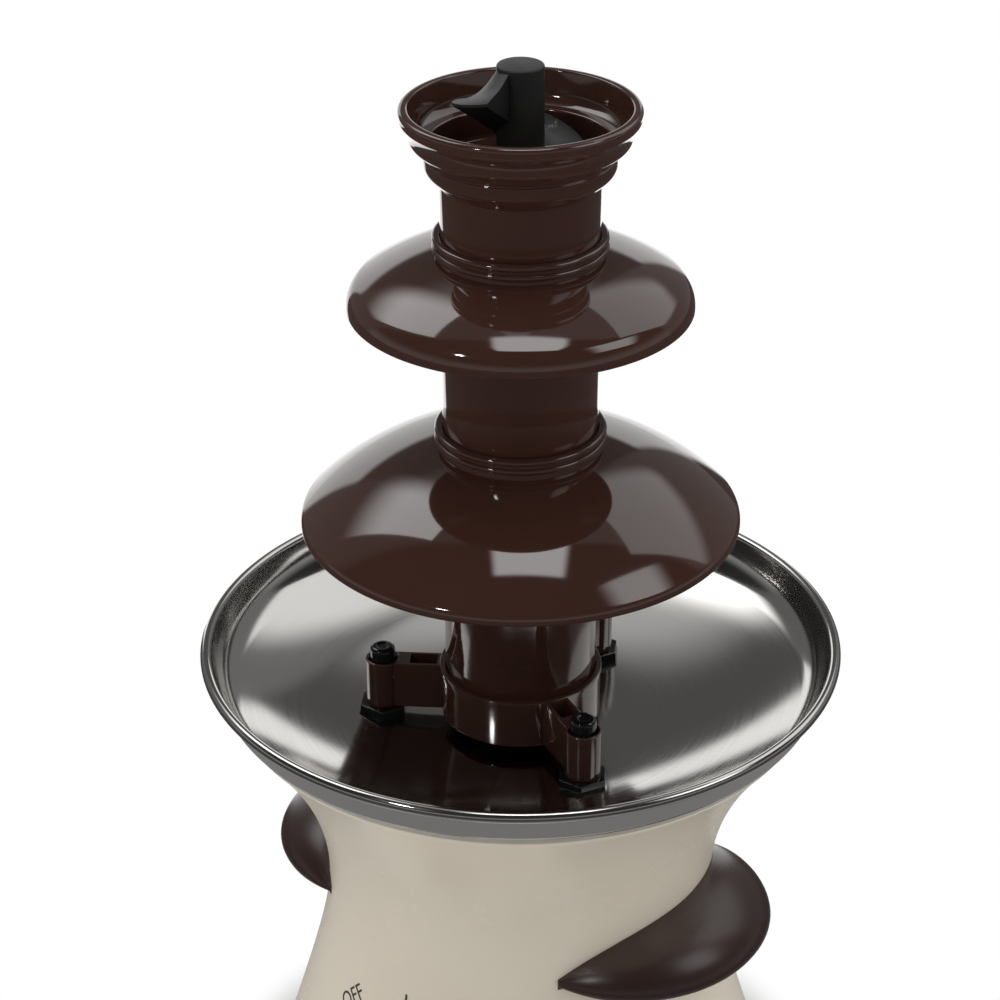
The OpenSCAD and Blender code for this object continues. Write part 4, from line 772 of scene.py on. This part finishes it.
def tier_profile(low, top, rim_radius, rim_z, slope, bow, edge):
    """Tube, bowed dome with a rounded edge, and collar with two beads round its top."""
    tower = bpy.context.scene.fountain_tower
    tube, bore = tower.tube_radius, tower.tube_radius - tower.tube_wall
    collar = collar_radius(tower)
    socket = tube + tower.plug_clear
    wall, bead = tower.dome_wall, tower.collar_bead
    outer, inner = slope + bow, slope - bow
    middle = (rim_radius - edge, rim_z)
    over = (middle[0] + edge * math.sin(outer), middle[1] + edge * math.cos(outer))
    curve = (over[0] - collar) / (math.sin(outer) - math.sin(inner))
    heart = (over[0] - curve * math.sin(outer), over[1] - curve * math.cos(outer))
    tilt = 90 - math.degrees(outer)
    root = math.degrees(math.acos((tube - heart[0]) / (curve - wall)))
    low_rim = rim_z - 1 * MM
    round_rim = wall * 0.35
    lower_bead = top - 3.6 * bead - 0.4 * MM
    rim_in = rim_radius - wall
    corners = [(rim_in, rim_z), (rim_in, low_rim), (rim_radius, low_rim), (rim_radius, rim_z)]
    line = tube_end(tower, low)
    line += arc(heart, curve - wall, root, tilt, 40)
    line += arc(middle, edge - wall, tilt, 0, 12)[1:]
    line += fillet(*corners[:3], round_rim, 6) + fillet(*corners[1:], round_rim, 6)
    line += arc(middle, edge, 0, tilt, 18)
    line += arc(heart, curve, tilt, 90 - math.degrees(inner), 48)[1:]
    for z in (lower_bead, top - bead):
        line += arc((collar, z), bead, -90, 90, 12)
    line += fillet((collar, top), (socket, top), (socket, low), 0.25 * MM, 4)
    line += [(socket, top - tower.plug_depth), (bore, top - tower.plug_depth)]
    return line


def crown_profile():
    """Tube with a rounded band round its neck, then a flaring, rounded cup with a thick lip."""
    tower = bpy.context.scene.fountain_tower
    low, rim, edge = CROWN_LOW.z, CROWN_HIGH.z, tower.crown_rim_radius
    tube, bore = tower.tube_radius, tower.tube_radius - tower.tube_wall
    band, bead, foot = tower.crown_band, tower.crown_bead, 0.8 * MM
    band_z = rim - tower.crown_flare
    band_low, neck = (band, band_z - 4 * MM), (tube, band_z - 8.6 * MM)
    groove = (band - 0.7 * MM, band_z + 0.4 * MM)
    flare = (edge - 2.9 * MM, rim - tower.crown_flare * 0.54)
    flare_low = (flare[0], flare[1] - 2 * MM)
    mouth, throat = (edge - 3 * MM, rim), (band - 2.1 * MM, rim - tower.cup_depth)
    heel = (edge - 4.9 * MM, throat[1] + 1.2 * MM)
    throat_low = (throat[0], band_low[1])
    line = tube_end(tower, low)
    line += fillet((tube, low), neck, band_low, 0.8 * MM)
    line += fillet(neck, band_low, (band, band_z), 4 * MM, 12)
    line += fillet(band_low, (band, band_z), groove, 0.4 * MM, 4)
    line += fillet((band, band_z), groove, flare_low, 0.4 * MM, 4)
    line += fillet(groove, flare_low, flare, 2.5 * MM, 10)
    line += [flare]
    line += arc((edge - 0.3 * MM - foot, rim - tower.crown_lip + foot), foot, -60, 20, 8)
    line += arc((edge - bead, rim - bead), bead, -20, 90, 14)
    line += fillet((edge - bead, rim), mouth, heel, 0.8 * MM, 8)
    line += fillet(mouth, heel, throat, 5 * MM, 14)
    line += fillet(heel, throat, throat_low, 0.8 * MM, 8)
    line += fillet(throat, throat_low, (bore, neck[1] - 0.6 * MM), 2 * MM, 6)
    line += [(bore, neck[1] - 0.6 * MM)]
    return line


class FOUNTAIN_OT_finishes(bpy.types.Operator):
    """Make the materials and dress the CAD nodes that stay as they are"""
    bl_idname = "fountain.finishes"
    bl_label = "Finishes"

    def execute(self, context):
        make_materials()
        slots = {part["node"]: part["material_slot"] for part in frame["record"]["subparts"]}
        for name, obj in frame["nodes"].items():
            obj.data.materials.clear()
            obj.data.materials.append(MATERIALS[slots[name]])
        return {"FINISHED"}


class FOUNTAIN_OT_tiers(bpy.types.Operator):
    """Turn the crown and the two domed tiers of the tower"""
    bl_idname = "fountain.tiers"
    bl_label = "Tiers and crown"

    def execute(self, context):
        tower = context.scene.fountain_tower
        profiles = {
            "crown": crown_profile(),
            "medium_tier": tier_profile(MEDIUM_LOW.z, MEDIUM_HIGH.z, tower.medium_rim_radius,
                                        LARGE_HIGH.z + tower.medium_rim_height, tower.medium_slope,
                                        tower.medium_bow, tower.medium_edge),
            "large_tier": tier_profile(LARGE_LOW.z, LARGE_HIGH.z, tower.large_rim_radius,
                                       FOOT_HIGH.z + tower.large_rim_height, tower.large_slope,
                                       tower.large_bow, tower.large_edge),
        }
        for node, profile in profiles.items():
            piece = turned("moulded_" + node, profile)
            finish(piece, "tower", "cocoa_plastic", [node], sharp=40)
        return {"FINISHED"}


class FOUNTAIN_OT_tower_foot(bpy.types.Operator):
    """Build the tower's foot: a collar with three arms that drop over the locating pins"""
    bl_idname = "fountain.tower_foot"
    bl_label = "Tower foot"

    def execute(self, context):
        tower = context.scene.fountain_tower
        low, top = FOOT_LOW.z, FOOT_HIGH.z
        collar, lip = collar_radius(tower), 0.5 * MM
        socket, bore = tower.tube_radius + tower.plug_clear, tower.tube_radius - tower.tube_wall
        seat = top - tower.plug_depth
        outer = [(bore, low), (collar, low), (collar, top - 2.4 * MM), (collar + lip, top - 2 * MM),
                 (collar + lip, top), (socket, top), (socket, seat), (bore, seat)]
        radii = [0, 0.4 * MM, 0, 0.15 * MM, 0.4 * MM, 0.2 * MM, 0, 0]
        foot = turned("moulded_tower_foot", rounded(outer, radii))
        arms, holes = [], []
        half, arm_in = tower.arm_width / 2, collar - 0.6 * MM
        pocket_half, pocket_in = 3 * MM, collar + lip + 0.8 * MM
        arm = oblong(-half, -tower.pin_ring, half, -arm_in)
        boss = rounded(oblong(0, low, tower.boss_radius, top - 0.2 * MM), [0, 0.4 * MM, 0.5 * MM, 0])
        pocket = oblong(-pocket_half, -pocket_in - 9 * MM, pocket_half, -pocket_in)
        drill = [(0, low - 1 * MM), (tower.boss_bore, low - 1 * MM), (tower.boss_bore, top - 0.6 * MM),
                 (tower.boss_bore + 1 * MM, top + 0.4 * MM), (0, top + 0.4 * MM)]
        for azimuth in PIN_AZIMUTHS:
            turn = turned_to(azimuth)
            at_pin = turn @ Matrix.Translation((0, -tower.pin_ring, 0))
            arms.append(moved(block("arm", arm, low, top - 0.4 * MM, 0.35 * MM), turn))
            arms.append(moved(turned("boss", boss, 64), at_pin))
            holes.append(moved(block("pocket", pocket, top - 13.8 * MM, top + 1 * MM), turn))
            holes.append(moved(turned("drill", drill, 64), at_pin))
        combine(foot, arms, "UNION")
        combine(foot, holes, "DIFFERENCE")
        finish(foot, "tower", "cocoa_plastic", ["tower_foot"], sharp=30)
        return {"FINISHED"}


class FOUNTAIN_OT_auger(bpy.types.Operator):
    """Grow the auger's flight round its shaft"""
    bl_idname = "fountain.auger"
    bl_label = "Auger"

    def execute(self, context):
        size = context.scene.fountain_auger
        low, top = AUGER_LOW.z, AUGER_HIGH.z
        shaft_r, skirt_top = size.shaft_radius, AUGER_LOW.z + size.skirt_height
        cone_top = skirt_top + 12 * MM
        socket_top = skirt_top + size.socket_depth
        outline = [(size.skirt_bore, low), (size.skirt_radius, low), (size.skirt_radius, skirt_top),
                   (shaft_r, cone_top), (shaft_r, top), (0, top), (0, skirt_top),
                   (size.skirt_bore, skirt_top)]
        radii = [0.3 * MM, 0.5 * MM, 3 * MM, 6 * MM, 0.7 * MM, 0, 0, 0]
        shaft = turned("moulded_auger", rounded(outline, radii, 8), 96)
        root, tip = shaft_r - 1.1 * MM, size.tip_lift
        half_root, half_tip = size.root_height / 2, size.tip_height / 2
        scoop = ((root + size.radius) / 2 - size.hollow, (half_root + tip + half_tip) / 2 - size.hollow)
        corners = [(root, -half_root), (size.radius, tip - half_tip), (size.radius, tip + half_tip), scoop,
                   (root, half_root)]
        section = rounded(corners, [0, 0.4 * MM, 0.4 * MM, 20 * MM, 0], 4)
        # The sides of the section are cut up, so that the sampled points lie close to its corners.
        fine, spacing = [], 0.35 * MM
        for (x0, z0), (x1, z1) in zip(section, section[1:] + section[:1]):
            steps = max(1, round(math.hypot(x1 - x0, z1 - z0) / spacing))
            fine += [(x0 + (x1 - x0) * i / steps, 0, z0 + (z1 - z0) * i / steps) for i in range(steps)]
        line = line_object("flight_section", fine)
        top_middle = top - size.end_gap - half_root
        turn = (top_middle - (low + half_root)) / size.pitch * 2 * math.pi
        step = 6  # degrees between two rows of points
        flight = grow("flight", flight_tree(), {
            "Section": line, "Steps": int(math.degrees(turn) / step) + 3, "Points": 61,
            "End angle": size.end_angle, "Turn": turn, "Pitch": size.pitch, "Top": top_middle,
            "Middle radius": (root + size.radius) / 2, "Root radius": root,
            "Blend radius": size.blend_radius, "Blend slope": tip / (size.radius - root),
            "Material": MATERIALS["black_plastic"]})
        discard(line)
        combine(shaft, [flight], "UNION")
        key = oblong(-10 * MM, -10 * MM, 10 * MM, size.socket_flat)
        socket = plug("socket", size.socket_radius, skirt_top - 1 * MM, socket_top, 64)
        combine(socket, [block("key", key, skirt_top - 2 * MM, socket_top + 1 * MM)], "INTERSECT")
        combine(shaft, [socket], "DIFFERENCE")
        finish(shaft, "auger", "black_plastic", ["auger"], sharp=38)
        return {"FINISHED"}


class FOUNTAIN_OT_pins(bpy.types.Operator):
    """Set the three locating pins on the bowl's floor"""
    bl_idname = "fountain.pins"
    bl_label = "Locating pins"

    def execute(self, context):
        tower = context.scene.fountain_tower
        low, floor, top = PIN_LOW.z, FLOOR_Z, PIN_HIGH.z
        hex_top = floor + tower.pin_hex_height
        corner = tower.pin_hex / 2 / math.cos(math.pi / 6)
        hexagon = [(corner * math.cos(math.pi / 3 * i), corner * math.sin(math.pi / 3 * i)) for i in range(6)]
        pin = block("pin", hexagon, floor, hex_top, 0.5 * MM)
        # A shallow cup in the round head, as moulded caps have
        r, neck, cup = tower.pin_radius, hex_top - 0.5 * MM, top - 0.5 * MM
        head = rounded([(0, neck), (r, neck), (r, top), (r * 0.5, top), (r * 0.36, cup), (0, cup)],
                       [0, 0, 1.5 * MM, 0.3 * MM, 0.3 * MM, 0])
        stud_r, stud_top, bevel = 2.5 * MM, floor + 1 * MM, 0.3 * MM
        stud = [(0, low), (stud_r - bevel, low), (stud_r, low + bevel), (stud_r, stud_top), (0, stud_top)]
        combine(pin, [turned("head", head, 48), turned("stud", stud, 32)], "UNION")
        moved(pin, Matrix.Translation((0, tower.pin_ring, 0)))
        pins = grow("moulded_pins", ring_tree(), {"Piece": pin, "Count": len(PIN_AZIMUTHS),
                                                  "Material": MATERIALS["black_gloss"]})
        discard(pin)
        finish(pins, "base", "black_gloss", ["locating_pins"])
        return {"FINISHED"}


class FOUNTAIN_OT_bowl(bpy.types.Operator):
    """Spin the steel bowl with its dished floor and rolled rim"""
    bl_idname = "fountain.bowl"
    bl_label = "Bowl"

    def execute(self, context):
        bowl = context.scene.fountain_bowl
        under = BOWL_LOW.z
        corner_z = under + bowl.dish_height
        middle = (bowl.rim_radius - bowl.bead, corner_z + bowl.wall_height)
        start = -128  # degrees where the rolled rim leaves the wall's outside
        bead_start = (middle[0] + bowl.bead * math.cos(math.radians(start)),
                      middle[1] + bowl.bead * math.sin(math.radians(start)))
        line = [(bowl.hole, under), (bowl.bend_radius, under), (bowl.corner_radius, corner_z), bead_start]
        slope = math.atan(bowl.dish_height / (bowl.corner_radius - bowl.bend_radius))
        dish_curve = (bowl.bend_radius - bowl.flat_radius) / math.tan(slope / 2)
        inner = shifted(line, bowl.sheet)

        def path(points, dish, corner):
            return [points[0]] + fillet(*points[:3], dish, 60) + fillet(*points[1:], corner, 12) + [points[3]]

        profile = path(line, dish_curve, bowl.outer_curve)
        profile += arc(middle, bowl.bead, start, 180, 28)
        profile += path(inner, dish_curve - bowl.sheet, bowl.corner_curve)[::-1]
        piece = turned("spun_bowl", profile, 200)
        finish(piece, "base", "stainless", ["bowl"], sharp=40)
        return {"FINISHED"}


class FOUNTAIN_OT_base_shell(bpy.types.Operator):
    """Mould the waisted base shell with the knob's well and the gland's seat"""
    bl_idname = "fountain.base_shell"
    bl_label = "Base shell"

    def execute(self, context):
        base = context.scene.fountain_base
        low, top = SHELL_LOW.z, GASKET_LOW.z
        steps = 90
        heights = [low + (top - low) * i / steps for i in range(steps + 1)]
        outer = [(shell_radius(z), z) for z in heights]
        inner = [(r, min(max(z, low), top)) for r, z in shifted(outer, base.wall)]
        edge = 0.8 * MM
        foot = fillet(inner[0], outer[0], outer[4], edge)
        head = fillet(outer[-5], outer[-1], inner[-1], edge)
        profile = foot + outer[2:-2] + head + inner[::-1]
        shell = turned("moulded_base_shell", profile, 180)
        wall, seat = 2 * MM, 3.5 * MM
        knob, gland = knob_place(), gland_place()
        well_r, deep, proud = base.well_radius, -base.well_depth, base.well_proud
        cup = rounded(oblong(0, deep - seat, well_r + wall, proud), [0, 0, 0.9 * MM, 0])
        pad = rounded(oblong(0, -5 * MM, 10 * MM, 1 * MM), [0, 0, 0.5 * MM, 0])
        combine(shell, [moved(turned("cup", cup, 96), knob), moved(turned("pad", pad, 64), gland)], "UNION")
        well = [(0, deep), (well_r, deep), (well_r, proud - 0.5 * MM), (well_r + 1 * MM, proud + 0.5 * MM),
                (0, proud + 0.5 * MM)]
        # Holes for the switch's thread and the cord gland go right through the wall.
        inside, outside = -20 * MM, 10 * MM
        combine(shell, [moved(turned("well", well, 96), knob),
                        moved(plug("bore", 4.95 * MM, inside, outside, 48), knob),
                        moved(plug("gland", 6.05 * MM, inside, outside, 48), gland)], "DIFFERENCE")
        finish(shell, "base", "cream_plastic", ["base_shell"], sharp=30)
        return {"FINISHED"}


class FOUNTAIN_OT_handles(bpy.types.Operator):
    """Loft the two wing handles along the waist"""
    bl_idname = "fountain.handles"
    bl_label = "Handles"

    # Powers of the curves: reach and rise along the waist, then the upper and the lower face
    reach_power, rise_power, top_power, under_power = 2.1, 2.8, 2 / 1.7, 1.6
    end_share = 0.985  # the ends stop a little short, so that they keep some width

    def section(self, base, share):
        """Outline of a handle at a share of its half angle: (distance from the axis, height)."""
        edge_z = SHELL_LOW.z + base.handle_edge
        reach = base.handle_reach * (1 - abs(share) ** self.reach_power) + 0.6 * MM
        thick = min(1, (reach + 3 * MM) / (14 * MM))
        rise = base.handle_rise * (1 - abs(share) ** self.rise_power) + 0.8 * MM
        root_z, thin = edge_z + rise, 1 * MM
        low_z = root_z - thin - (base.handle_root - thin) * thick
        lip = base.handle_lip * thick
        top_in = shell_radius(root_z) + base.handle_gap
        low_in = shell_radius(low_z) + base.handle_gap
        line, power = [], self.top_power
        for i in range(25):
            t = math.pi / 2 * i / 24
            line.append((top_in + reach * math.sin(t) ** power, edge_z + rise * max(0, math.cos(t)) ** power))
        line += arc((top_in + reach - lip / 2, edge_z), lip / 2, -12, -132, 10)
        under = edge_z - lip * 0.45
        for i in range(1, 16):
            t = 1 - i / 16
            line.append((low_in + (reach - lip) * t, low_z + (under - low_z) * t ** self.under_power))
        return line + [(low_in, low_z)]

    def execute(self, context):
        base = context.scene.fountain_base
        steps = 72
        for node, side in (("handle_right", 0), ("handle_left", math.pi)):
            rings = []
            for i in range(steps + 1):
                share = self.end_share * math.sin(math.pi * (i / steps - 0.5))
                angle = side + share * base.handle_half_angle
                ring = self.section(base, share)
                rings.append([(r * math.cos(angle), r * math.sin(angle), z) for r, z in ring])
            piece = loft("moulded_" + node, rings)
            finish(piece, "base", "handle_plastic", [node], sharp=50)
        return {"FINISHED"}


class FOUNTAIN_OT_knob(bpy.types.Operator):
    """Mould the knob with its grip and pointer, and print the marks round it"""
    bl_idname = "fountain.knob"
    bl_label = "Knob and marks"

    def knob(self, base):
        bottom = -base.well_depth + base.knob_lift
        top = bottom + base.knob_height
        disc = top - 9 * MM
        r = base.knob_radius
        line = rounded([(0, bottom), (r - 0.4 * MM, bottom), (r - 0.6 * MM, disc), (0, disc + 0.6 * MM)],
                       [0, 0.4 * MM, 2.4 * MM, 0], 8)
        knob = turned("moulded_knob", line, 128)
        half, end = 4.5 * MM, r - 1.4 * MM
        turn = Matrix.Rotation(base.pointer_rest, 4, "Z")
        grip = rounded(oblong(-end, -half, end, half), [4 * MM] * 4)
        grip = block("grip", grip, disc - 1 * MM, top, 1.6 * MM)
        # The grip's ends follow the round of the knob.
        limit = [(0, disc - 3 * MM), (r - 1.6 * MM, disc - 3 * MM), (r - 2.6 * MM, top - 3 * MM),
                 (r - 4.4 * MM, top + 1 * MM), (0, top + 1 * MM)]
        combine(grip, [turned("limit", limit, 96)], "INTERSECT")
        combine(knob, [moved(grip, turn)], "UNION")
        hollow = plug("hollow", 9.6 * MM, bottom - 1 * MM, -base.well_depth + 4.6 * MM, 64)
        stem = plug("stem", 3.05 * MM, bottom, top - 4 * MM, 32)
        groove = rounded(oblong(r * 0.42, -0.9 * MM, r, 0.9 * MM), [0.4 * MM] * 4)
        groove = moved(block("groove", groove, top - 0.8 * MM, top + 2 * MM), turn)
        combine(knob, [hollow, stem, groove], "DIFFERENCE")
        return moved(knob, knob_place())

    def mark(self, base, text, angle):
        """A short text laid on the shell, as a thin closed mesh."""
        curve = bpy.data.curves.new("mark", "FONT")
        curve.body = text
        curve.size = base.mark_size * 1.4
        curve.align_x = curve.align_y = "CENTER"
        curve.extrude = 0.04 * MM
        curve.resolution_u = 6
        flat = new_object("mark", curve)
        mesh = bpy.data.meshes.new_from_object(flat.evaluated_get(bpy.context.evaluated_depsgraph_get()))
        discard(flat)
        bm = bmesh.new()
        bm.from_mesh(mesh)
        bmesh.ops.remove_doubles(bm, verts=bm.verts, dist=WELD)
        bmesh.ops.triangulate(bm, faces=bm.faces)
        tilt = math.cos(math.atan(-shell_slope(SHELL_LOW.z + base.knob_middle)))
        lean = Matrix.Rotation(angle - math.pi / 2, 3, "Z")
        for v in bm.verts:
            v.co = lean @ v.co
            across = base.mark_ring * math.cos(angle) + v.co.x
            z = SHELL_LOW.z + base.knob_middle + (base.mark_ring * math.sin(angle) + v.co.y) * tilt
            radius = shell_radius(z) + 0.05 * MM + v.co.z
            turn = across / radius
            v.co = (radius * math.sin(turn), -radius * math.cos(turn), z)
        bm.to_mesh(mesh)
        bm.free()
        return new_object("mark", mesh)

    def execute(self, context):
        base = context.scene.fountain_base
        finish(self.knob(base), "knob", "cocoa_plastic", ["control_knob"], sharp=30)
        for name, text, angle in MARKS:
            mark = self.mark(base, text, math.radians(angle))
            mark.name = name
            finish(mark, "base", "ink", [])
        return {"FINISHED"}


class FOUNTAIN_OT_stage(bpy.types.Operator):
    """Set the floor, the soft lights and the camera"""
    bl_idname = "fountain.stage"
    bl_label = "Stage"

    def place(self, azimuth, elevation, distance, aim, axis):
        """Matrix of a light: its Z axis points to the aim with axis 1, away from it with axis -1."""
        a = bpy.context.scene.fountain_stage.azimuth + math.radians(azimuth)
        e = math.radians(elevation)
        way = Vector((math.sin(a) * math.cos(e), -math.cos(a) * math.cos(e), math.sin(e)))
        turn = (-axis * way).to_track_quat("Z", "Y").to_matrix().to_4x4()
        return Matrix.Translation(Vector((0, 0, aim)) + distance * way) @ turn

    def softbox(self, name, azimuth, elevation, distance, size, strength, fades, roll):
        """Glowing panel that faces the fountain.

        fades are the shares of the panel over which its left, right, lower and upper edge dim, seen from
        the fountain.
        """
        w, h = size[0] / 2, size[1] / 2
        mesh = bpy.data.meshes.new(name)
        mesh.from_pydata([(x, y, 0) for x, y in oblong(-w, -h, w, h)], [], [(0, 1, 2, 3)])
        panel = new_object(name, mesh)
        place = self.place(azimuth, elevation, distance, SOFTBOX_AIM, 1)
        panel.matrix_world = place @ Matrix.Rotation(math.radians(roll), 4, "Z")
        panel.visible_camera = False
        material = bpy.data.materials.new(name)
        tree = bare_tree(material)
        spot = add(tree, "ShaderNodeTexCoord").outputs["Object"]
        split = add(tree, "ShaderNodeSeparateXYZ", {0: spot})
        behind = add(tree, "ShaderNodeNewGeometry").outputs["Backfacing"]
        glow = add(tree, "ShaderNodeEmission", {"Strength": blend(tree, behind, strength, 0.0)}).outputs[0]
        clear = add(tree, "ShaderNodeBsdfTransparent").outputs[0]
        for (axis, edge), fade in zip((("X", -w), ("X", w), ("Y", -h), ("Y", h)), fades):
            if fade:
                level = eased(tree, split.outputs[axis], edge, edge * (1 - 2 * fade))
                glow = layered(tree, level, clear, glow)
        add(tree, "ShaderNodeOutputMaterial", {"Surface": glow})
        mesh.materials.append(material)

    def lamp(self, name, azimuth, elevation, distance, size, power, glossy):
        light = bpy.data.lights.new(name, "AREA")
        light.shape = "SQUARE"
        light.size = size
        light.energy = power
        obj = new_object(name, light)
        obj.matrix_world = self.place(azimuth, elevation, distance, LAMP_AIM, -1)
        obj.visible_glossy = glossy

    def facing(self, tree, vector, azimuth, near, far):
        """Socket that goes from 0 to 1 between two angles, as a direction turns to an azimuth.

        The azimuth is counted from the camera's.
        """
        a = bpy.context.scene.fountain_stage.azimuth + azimuth
        way = vectors(tree, "NORMALIZE", vectors(tree, "MULTIPLY", vector, LEVEL))
        depth = vectors(tree, "DOT_PRODUCT", way, (math.sin(a), -math.cos(a), 0))
        return eased(tree, depth, math.cos(math.radians(near)), math.cos(math.radians(far)))

    def floor(self):
        """White to the camera except for a narrow shadow; to reflections white behind and dark in front."""
        turns = [2 * math.pi * i / 96 for i in range(96)]
        floor = loft("floor", [[(FLOOR_RADIUS * math.cos(a), FLOOR_RADIUS * math.sin(a), z) for a in turns]
                               for z in (-FLOOR_DEPTH, 0)])
        material, tree, shader = new_material("painted studio floor", Roughness=0.6,
                                              Base_Color=(0.8, 0.8, 0.8, 1))
        spot = add(tree, "ShaderNodeTexCoord").outputs["Object"]
        reach = vectors(tree, "LENGTH", spot)
        path = add(tree, "ShaderNodeLightPath")
        back = self.facing(tree, spot, bpy.context.scene.fountain_stage.backdrop, *BACKDROP_EDGE)
        tone = blend(tree, back, eased(tree, reach, 0.2, 0.3, 0.26, 0.07), 1.6)
        tone = blend(tree, path.outputs["Is Camera Ray"], tone, 1.0)
        glow = add(tree, "ShaderNodeEmission", {"Strength": tone}).outputs[0]
        white = maths(tree, "MULTIPLY", mirrored(tree, path), eased(tree, reach, *SHADOW))
        surface = layered(tree, white, shader.outputs[0], glow)
        # From below the floor is clear, so that views from there show the underside.
        height = add(tree, "ShaderNodeSeparateXYZ", {0: spot}).outputs["Z"]
        behind = add(tree, "ShaderNodeNewGeometry").outputs["Backfacing"]
        under = maths(tree, "MAXIMUM", maths(tree, "LESS_THAN", height, -1 * MM), behind)
        surface = layered(tree, under, surface, add(tree, "ShaderNodeBsdfTransparent").outputs[0])
        tree.links.new(surface, tree.nodes["Material Output"].inputs["Surface"])
        floor.data.materials.append(material)

    def world(self, scene):
        """White to the camera; to reflections a dim room, its wall behind white below and grey above."""
        scene.world = scene.world or bpy.data.worlds.new("studio")
        tree = bare_tree(scene.world)
        path = add(tree, "ShaderNodeLightPath")
        way = add(tree, "ShaderNodeTexCoord").outputs["Generated"]
        height = add(tree, "ShaderNodeSeparateXYZ", {0: way}).outputs["Z"]
        white, grey = eased(tree, height, 0.28, 0.34, 1.28, 0.1), eased(tree, height, 0.58, 0.82, 0.0, 0.48)
        wall = maths(tree, "ADD", white, grey)
        room = eased(tree, height, 0.05, 0.4, 0.32, 0.03)
        # Two grey walls, then the backdrop: azimuth from the camera's, degrees where it begins, brightness
        walls = ((math.radians(135), 28, 24, 0.21), (math.radians(-132), 26, 18, 0.16),
                 (scene.fountain_stage.backdrop, *BACKDROP_EDGE, wall))
        for azimuth, near, far, level in walls:
            room = blend(tree, self.facing(tree, way, azimuth, near, far), room, level)
        seen = blend(tree, path.outputs["Is Camera Ray"], room, 1.0)
        level = blend(tree, mirrored(tree, path), ROOM_LIGHT, seen)
        glow = add(tree, "ShaderNodeBackground", {"Color": (1, 1, 1, 1), "Strength": level})
        add(tree, "ShaderNodeOutputWorld", {"Surface": glow.outputs[0]})

    def execute(self, context):
        scene = context.scene
        stage = scene.fountain_stage
        scene.view_settings.view_transform = "Standard"
        self.floor()
        self.world(scene)
        for name, row in SOFTBOXES.items():
            self.softbox(name, *row)
        for name, row in LAMPS.items():
            self.lamp(name, *row)
        data = bpy.data.cameras.new("camera")
        data.sensor_width = 36
        data.lens = stage.focal
        data.shift_x = stage.shift
        camera = new_object("camera", data)
        spot = Vector((stage.distance * math.sin(stage.azimuth), -stage.distance * math.cos(stage.azimuth),
                       stage.height))
        camera.matrix_world = (Matrix.Translation(spot) @ Matrix.Rotation(stage.azimuth, 4, "Z")
                               @ Matrix.Rotation(math.pi / 2 - stage.pitch, 4, "X"))
        scene.camera = camera
        return {"FINISHED"}


class FOUNTAIN_PT_panel(bpy.types.Panel):
    bl_idname = "FOUNTAIN_PT_panel"
    bl_label = "Chocolate fountain"
    bl_space_type = "VIEW_3D"
    bl_region_type = "UI"
    bl_category = "Fountain"

    def draw(self, context):
        for operator in OPERATORS:
            self.layout.operator(operator.bl_idname)
        for name in GROUPS:
            box = self.layout.box()
            settings = getattr(context.scene, name)
            for prop in settings.bl_rna.properties:
                if prop.identifier not in ("name", "rna_type"):
                    box.prop(settings, prop.identifier)


GROUPS = {
    "fountain_tower": FountainTower,
    "fountain_bowl": FountainBowl,
    "fountain_base": FountainBase,
    "fountain_auger": FountainAuger,
    "fountain_finish": FountainFinish,
    "fountain_stage": FountainStage,
}
OPERATORS = (
    FOUNTAIN_OT_stage,
    FOUNTAIN_OT_finishes,
    FOUNTAIN_OT_tiers,
    FOUNTAIN_OT_tower_foot,
    FOUNTAIN_OT_auger,
    FOUNTAIN_OT_pins,
    FOUNTAIN_OT_bowl,
    FOUNTAIN_OT_base_shell,
    FOUNTAIN_OT_handles,
    FOUNTAIN_OT_knob,
)
CLASSES = (*GROUPS.values(), *OPERATORS, FOUNTAIN_PT_panel)


def register():
    for cls in CLASSES:
        bpy.utils.register_class(cls)
    for name, group in GROUPS.items():
        setattr(bpy.types.Scene, name, PointerProperty(type=group))


def unregister():
    for name in GROUPS:
        delattr(bpy.types.Scene, name)
    for cls in reversed(CLASSES):
        bpy.utils.unregister_class(cls)


def main():
    register()
    bpy.ops.fountain.stage()
    bpy.ops.fountain.finishes()
    bpy.ops.fountain.tiers()
    bpy.ops.fountain.tower_foot()
    bpy.ops.fountain.auger()
    bpy.ops.fountain.pins()
    bpy.ops.fountain.bowl()
    bpy.ops.fountain.base_shell()
    bpy.ops.fountain.handles()
    bpy.ops.fountain.knob()


if __name__ == "__main__":
    main()
